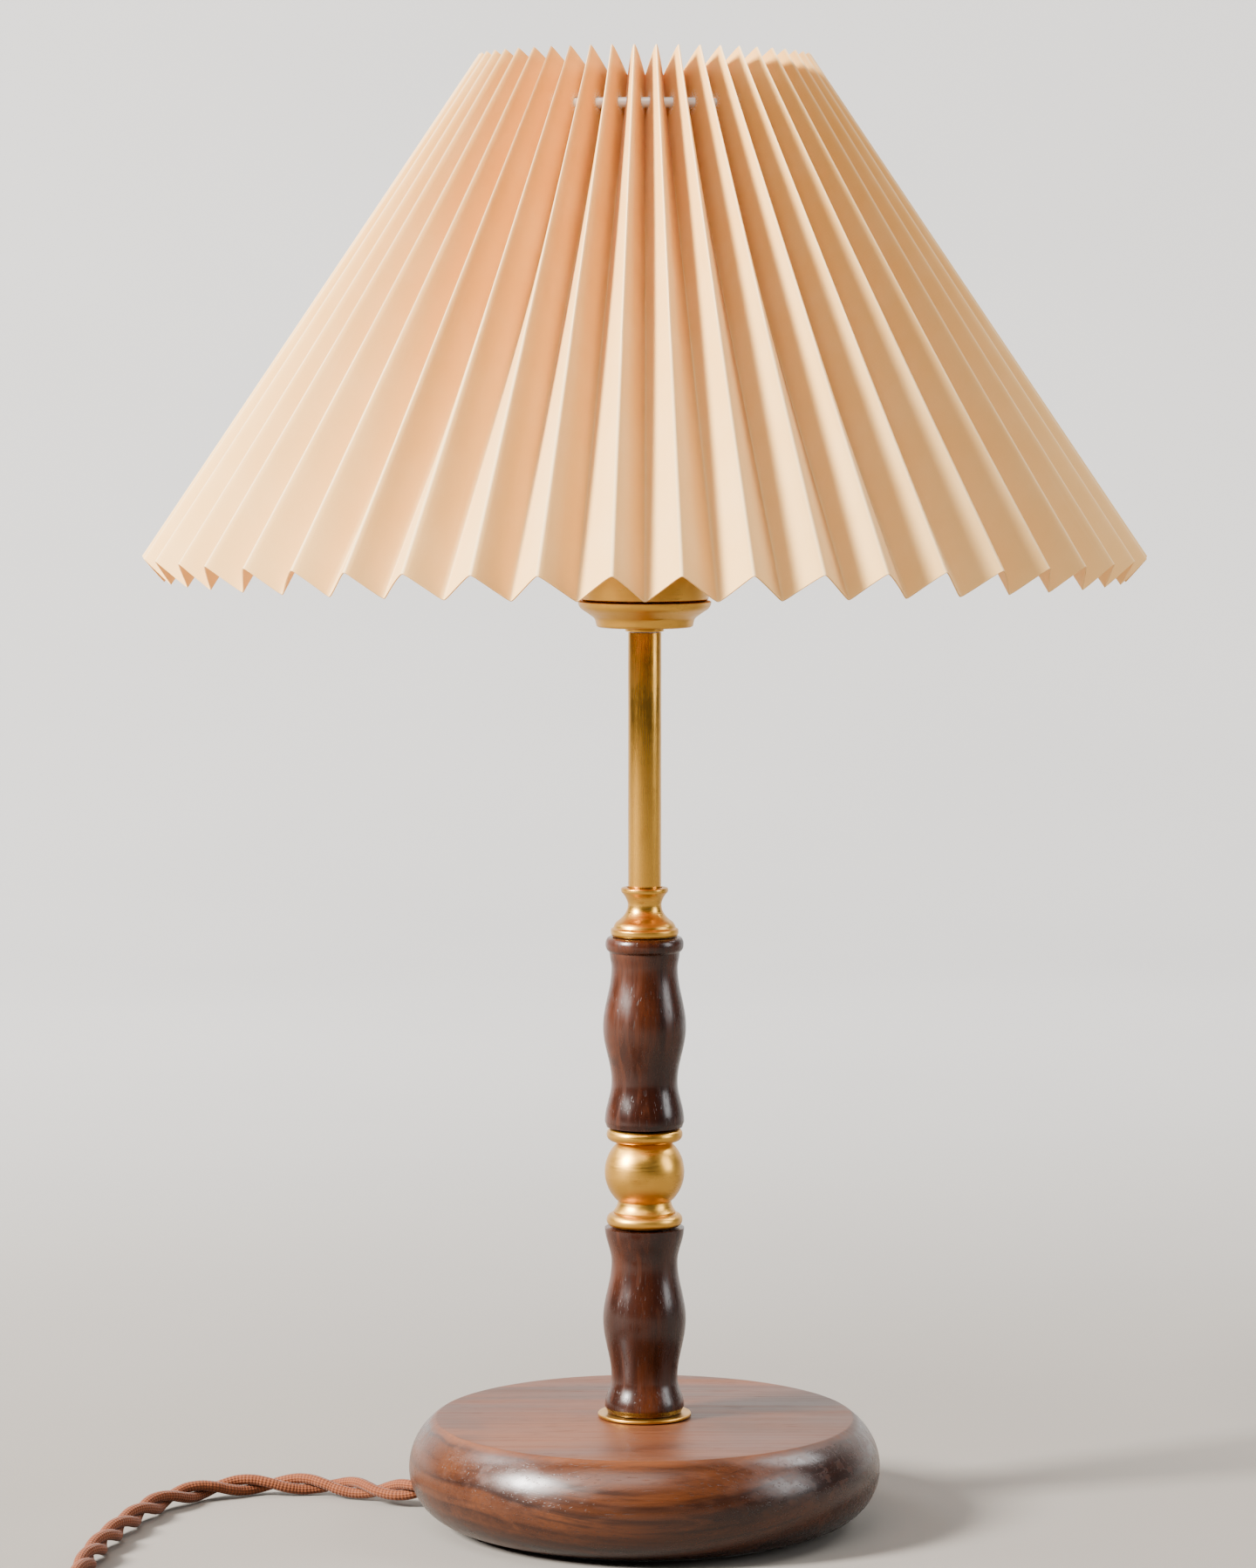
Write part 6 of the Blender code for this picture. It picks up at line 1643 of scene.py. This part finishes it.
# ---------------------------------------------------------------- switch
@dataclass
class InlineSwitch:
    """Two moulded shells round a rocker on a pin."""

    length: float = 0.0620
    width: float = 0.0260
    height: float = 0.0200
    wall: float = 0.0016
    cord_z: float = 0.0088
    taper: float = 0.0015
    rocker: float = 0.0192
    rocker_width: float = 0.0100
    tilt: float = math.radians(8)
    place: tuple[float, float, float] = (-0.1500, -0.2035, 0.0)

    def stadium(self, length: float, width: float, steps: int = 18) -> Outline:
        """An outline with round ends, long in Y."""
        radius = width / 2
        straight = length / 2 - radius
        return [(radius * math.cos(a), sign * straight + radius * math.sin(a))
                for sign, base in ((1, 0.0), (-1, math.pi))
                for a in (base + math.pi * i / steps for i in range(steps + 1))]

    def shell(self, name: str, low: float, high: float, layers: Sequence[tuple[float, float]]) -> bpy.types.Object:
        """A block with round ends, built from layers.

        Args:
            name: its name.
            low: its lowest height.
            high: its highest height.
            layers: the share of the height, and how far the side stands in, for each layer.

        Returns:
            The object, at the switch's place.
        """
        centre = Vector(self.place)

        def build(bm: bmesh.types.BMesh) -> None:
            """Stacks the layers and closes the ends."""
            rings = [[bm.verts.new(centre + Vector((x, y, low + (high - low) * up)))
                      for x, y in self.stadium(self.length - 2 * inset, self.width - 2 * inset)]
                     for up, inset in layers]
            count = len(rings[0])
            for first, second in zip(rings, rings[1:]):
                for k in range(count):
                    bm.faces.new((first[k], first[(k + 1) % count], second[(k + 1) % count], second[k]))
            bm.faces.new(rings[0])
            bm.faces.new(rings[-1])

        return solid(name, build)

    def at(self, x: float, y: float, z: float) -> Vector:
        """A point measured from the switch's middle."""
        return Vector(self.place) + Vector((x, y, z))

    def build(self, made: Finishes) -> list[bpy.types.Object]:
        """Makes the shells and the rocker, and returns the pieces that the cord carries."""
        gap, seam, wall = 0.0003, self.height / 2, self.wall
        round_low = [(0.0, 0.0016), (0.05, 0.0009), (0.13, 0.0003), (0.22, 0.0), (0.96, 0.0), (1.0, 0.0003)]
        lower = self.shell("switch_lower", gap, seam, round_low)
        round_high = [(0.0, 0.0003), (0.04, 0.0)]
        round_high += [(0.30 + 0.70 * math.sin(a), self.taper * 0.4 + 0.0029 * (1 - math.cos(a)))
                       for a in (math.radians(d) for d in range(0, 91, 10))]
        upper = self.shell("switch_upper", seam + gap, self.height, round_high)
        half_x, half_y = self.width / 2 - wall, (self.length - 2 * wall - 0.020) / 2
        cut(lower, box("hollow", self.at(-half_x, -half_y, gap + wall), self.at(half_x, half_y, seam + 0.01)))
        cut(upper, box("hollow", self.at(0.0015 - half_x, -half_y, seam - 0.01),
                       self.at(half_x - 0.0015, half_y, self.height - 0.0024)))
        pivot, radius = self.height - 0.0042, math.hypot(self.rocker / 2, 0.0046)
        open_x, open_y = self.rocker_width / 2 + 0.0005, radius + 0.0005
        ears = [box("ear", self.at(min(a, b), -0.0040, pivot - 0.0036), self.at(max(a, b), 0.0040, 0.0190))
                for a, b in ((-open_x, -open_x - 0.0016), (open_x, open_x + 0.0016))]
        cut(upper, *ears, operation="UNION")
        cut(upper, box("opening", self.at(-open_x, -open_y, pivot - 0.001), self.at(open_x, open_y, 0.03)),
            rod("pin_bore", self.at(-0.0079, 0, pivot), self.at(0.0079, 0, pivot), 0.0013))
        for half in (lower, upper):
            cut(half, rod("cord_bore", self.at(0, -0.04, self.cord_z), self.at(0, 0.04, self.cord_z),
                          0.0036, 32))
        screw_y = half_y + 0.0042
        for sign in (1, -1):
            below, x, y = -0.01, sign * 0.0072, sign * screw_y
            cut(lower, rod("sink", self.at(x, y, below), self.at(x, y, 0.0031), 0.0031))
            for half in (lower, upper):
                cut(half, rod("hole", self.at(x, y, below), self.at(x, y, seam + 0.0062), 0.0017))
        dress(lower, made.bakelite, Body.LAMP, Slot.BAKELITE, ("switch_base",))
        dress(upper, made.bakelite, Body.LAMP, Slot.BAKELITE, ("switch_cover",))
        self.make_rocker(made, pivot, radius)
        return [lower, upper]

    def make_rocker(self, made: Finishes, pivot: float, radius: float) -> None:
        """The rocker, dished between its raised ends, with grip ribs across one of them."""
        half, lift, dip, keel = self.rocker / 2, 0.0046, 0.0031, 0.0040
        low = math.asin(keel / radius)
        high = math.atan2(lift, half)
        top = [(half * t, dip + (lift - dip) * t * t) for t in np.linspace(-1.0, 1.0, 15)]
        side = [(radius * math.cos(a), radius * math.sin(a))
                for a in (high - (high + low) * i / 8 for i in range(1, 9))]
        outline = top + side + [(-y, z) for y, z in side[::-1]]
        wide = self.rocker_width / 2
        turn = Matrix.Translation(self.at(0, 0, pivot)) @ Matrix.Rotation(self.tilt, 4, "X")

        def build(bm: bmesh.types.BMesh) -> None:
            """Extrudes the outline across the rocker."""
            left, right = ([bm.verts.new((x, y, z)) for y, z in outline] for x in (-wide, wide))
            count = len(outline)
            for k in range(count):
                bm.faces.new((left[k], left[(k + 1) % count], right[(k + 1) % count], right[k]))
            bm.faces.new(left)
            bm.faces.new(right)
            bmesh.ops.transform(bm, matrix=turn, verts=bm.verts)

        rocker = bevelled(solid("rocker", build), 0.0005, 3, 60)
        cut(rocker, rod("bore", turn @ Vector((-0.02, 0, 0)), turn @ Vector((0.02, 0, 0)), 0.0013))
        ribs = []
        for k in range(5):
            t = 0.52 + 0.08 * k
            y, z = half * t, dip + (lift - dip) * t * t - 0.0001
            ribs.append(rod("rib", turn @ Vector((-wide + 0.0014, y, z)), turn @ Vector((wide - 0.0014, y, z)),
                            0.00028, 10))
        cut(rocker, *ribs, operation="UNION")
        dress(rocker, made.bakelite, Body.ROCKER, Slot.BAKELITE, ("switch_rocker",))


# ---------------------------------------------------------------- plug
@dataclass
class Plug:
    """A flat two-pin plug with a ribbed sleeve that tapers onto the cord."""

    start: tuple[float, float, float] = (-0.0150, -0.2510, 0.0071)
    sleeve: float = 0.0220
    length: float = 0.0335
    width: float = 0.0353
    thick: float = 0.0136
    pin: float = 0.0020
    pin_length: float = 0.0190
    pin_spacing: float = 0.0186
    ribs: int = 6

    def at(self, x: float, y: float, z: float) -> Vector:
        """A point measured from the sleeve's thin end."""
        return Vector(self.start) + Vector((x, y, z))

    def build(self, made: Finishes) -> list[bpy.types.Object]:
        """Makes the body and the pins, and returns them."""
        floor, half = 0.0003 - self.start[2], self.width / 2
        knots = [(0.0, 0.30), (0.10, 0.42), (0.25, 0.62), (0.45, 0.83), (0.62, 0.95), (0.80, 1.0), (1.0, 1.0)]
        upper = [(self.sleeve + self.length * t, half * share) for t, share in knots]
        outline = upper + [(x, -y) for x, y in reversed(upper)]

        def build(bm: bmesh.types.BMesh) -> None:
            """Extrudes the body's outline upwards."""
            low, high = ([bm.verts.new(self.at(x, y, z)) for x, y in outline]
                         for z in (floor, floor + self.thick))
            count = len(outline)
            for k in range(count):
                bm.faces.new((low[k], low[(k + 1) % count], high[(k + 1) % count], high[k]))
            bm.faces.new(low)
            bm.faces.new(high)

        body = bevelled(solid("plug_shell", build), 0.0028, 5, 35, 30)
        cone = self.make_sleeve(made)
        cut(body, cone, operation="UNION", degrees=30)
        pins = []
        for side, sign in (("left", 1), ("right", -1)):
            y = sign * self.pin_spacing / 2
            x0, x1 = self.sleeve + self.length - 0.006, self.sleeve + self.length + self.pin_length
            cut(body, rod("socket", self.at(x0 - 0.0003, y, 0), self.at(x1, y, 0), self.pin + 0.0003, 32),
                degrees=30)
            pin = bevelled(rod(f"pin_{side}", self.at(x0, y, 0), self.at(x1, y, 0), self.pin, 32), 0.0010, 4)
            pins.append(dress(pin, made.nickel, Body.LAMP, Slot.NICKEL, (f"plug_pin_{side}",)))
        dress(body, made.bakelite, Body.LAMP, Slot.BAKELITE, ("plug_body",))
        return [body, *pins]

    def make_sleeve(self, made: Finishes) -> bpy.types.Object:
        """The tapered sleeve, with rounded ribs that grow with it."""
        g = Shaper("sleeve_ribs")
        count, length = g.size("Ribs", self.ribs), g.size("Length", self.sleeve)
        thin, thick = g.size("Thin Radius", 0.0044), g.size("Thick Radius", 0.0060)
        brown = g.size("Finish", made.bakelite)
        line = g.add("GeometryNodeMeshLine", {"Count": count, "Start Location": self.at(0.0022, 0, 0),
                                              "Offset": (0.0030, 0.0, 0.0)}).outputs[0]
        index = g.add("GeometryNodeInputIndex").outputs[0]
        share = g.math("DIVIDE", g.math("MULTIPLY_ADD", index, 0.0030, 0.0022), length)
        size = g.math("MULTIPLY_ADD", g.math("SUBTRACT", thick, thin), share, thin)
        outline = g.add("GeometryNodeCurvePrimitiveCircle", {"Resolution": 8, "Radius": 0.12}).outputs[0]
        hoop = g.add("GeometryNodeCurvePrimitiveCircle", {"Resolution": 32, "Radius": 1.0}).outputs[0]
        rib = g.add("GeometryNodeCurveToMesh", {"Curve": hoop, "Profile Curve": outline}).outputs[0]
        turn = g.add("FunctionNodeEulerToRotation", {0: (0.0, math.pi / 2, 0.0)}).outputs[0]
        ribs = g.add("GeometryNodeInstanceOnPoints", {
            "Points": line, "Instance": rib, "Rotation": turn, "Scale": g.vector(size, size, size)}).outputs[0]
        hoops = g.bake("ribs", None, ribs, brown)
        cone = rod("cone", self.at(0, 0, 0), self.at(self.sleeve + 0.004, 0, 0), 0.0044, 48, 0.0060)
        return cut(cone, hoops, operation="UNION", degrees=30)


# ---------------------------------------------------------------- the whole lamp
def finish_hidden(made: Finishes) -> None:
    """Gives each CAD node that is kept its finish."""
    finish = {
        Slot.BRASS: ("base_nut", "centre_contact", "terminal_screw_left", "terminal_screw_right"),
        Slot.STEEL: ("base_lock_washer", "weight_screw_left", "weight_screw_right", "clamp_screw_left",
                     "clamp_screw_right", "threaded_pipe", "rocker_pin", "switch_screw_near",
                     "switch_screw_far"),
        Slot.IRON: ("base_weight",),
        Slot.NYLON: ("cord_clamp",),
        Slot.PORCELAIN: ("holder_insulator",),
        Slot.NICKEL: ("bulb_contact",),
        Slot.BLACK_GLASS: ("bulb_insulator",),
        Slot.SLEEVE: ("inner_lead", "live_wire", "neutral_wire"),
        Slot.BRAID: ("entry_lead",),
    }
    materials = {
        Slot.BRASS: made.brass, Slot.STEEL: made.steel, Slot.IRON: made.iron, Slot.NYLON: made.nylon,
        Slot.PORCELAIN: made.porcelain, Slot.NICKEL: made.nickel, Slot.BLACK_GLASS: made.black_glass,
        Slot.SLEEVE: made.sleeve, Slot.BRAID: made.strap,
    }
    for slot, nodes in finish.items():
        for node in nodes:
            data = frame["nodes"][node].data
            data.materials.clear()
            data.materials.append(materials[slot])
            LOG.info("%s keeps its shape, in %s", node, materials[slot].name)


def main() -> None:
    """Builds the scene: the camera and the cord first, then the lamp from the table upwards."""
    logging.basicConfig(level=logging.INFO, format="%(name)s: %(message)s", force=True)
    shade = PleatedShade()
    Studio().build()
    made = Finishes(shade.finish())

    cord = TwistedCord()
    first, first_path, second, second_path = cord.build(made.braid)
    tie = cord.make_tie(made.strap)
    switch = InlineSwitch().build(made)
    plug = Plug().build(made)
    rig.cord(first, exit=first_path[0], length=round(length_of(first_path), 3), diameter=4 * cord.strand,
            far_end="fitting", stiffness="medium", lay="loose", path=first_path,
            with_pieces=[*switch, "rocker_pin", "switch_screw_near", "switch_screw_far"])
    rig.cord(second, exit=second_path[0], length=round(length_of(second_path), 3), diameter=4 * cord.strand,
            far_end="plug", stiffness="medium", lay="coiled", path=second_path, with_pieces=[*plug, tie])
    LOG.info("leads: %.3f m and %.3f m", length_of(first_path), length_of(second_path))

    Base().build(made)
    Stem().build(made)
    Lampholder().build(made)
    Bulb().build(made)
    shade.build(made)
    finish_hidden(made)
    sizes = {"cad": [list(corner) for corner in CAD_BOX],
             "visual": [list(corner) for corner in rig.bounds()]}
    with open("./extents.json", "w", encoding="utf-8") as file:
        json.dump(sizes, file)


if __name__ == "__main__":
    main()
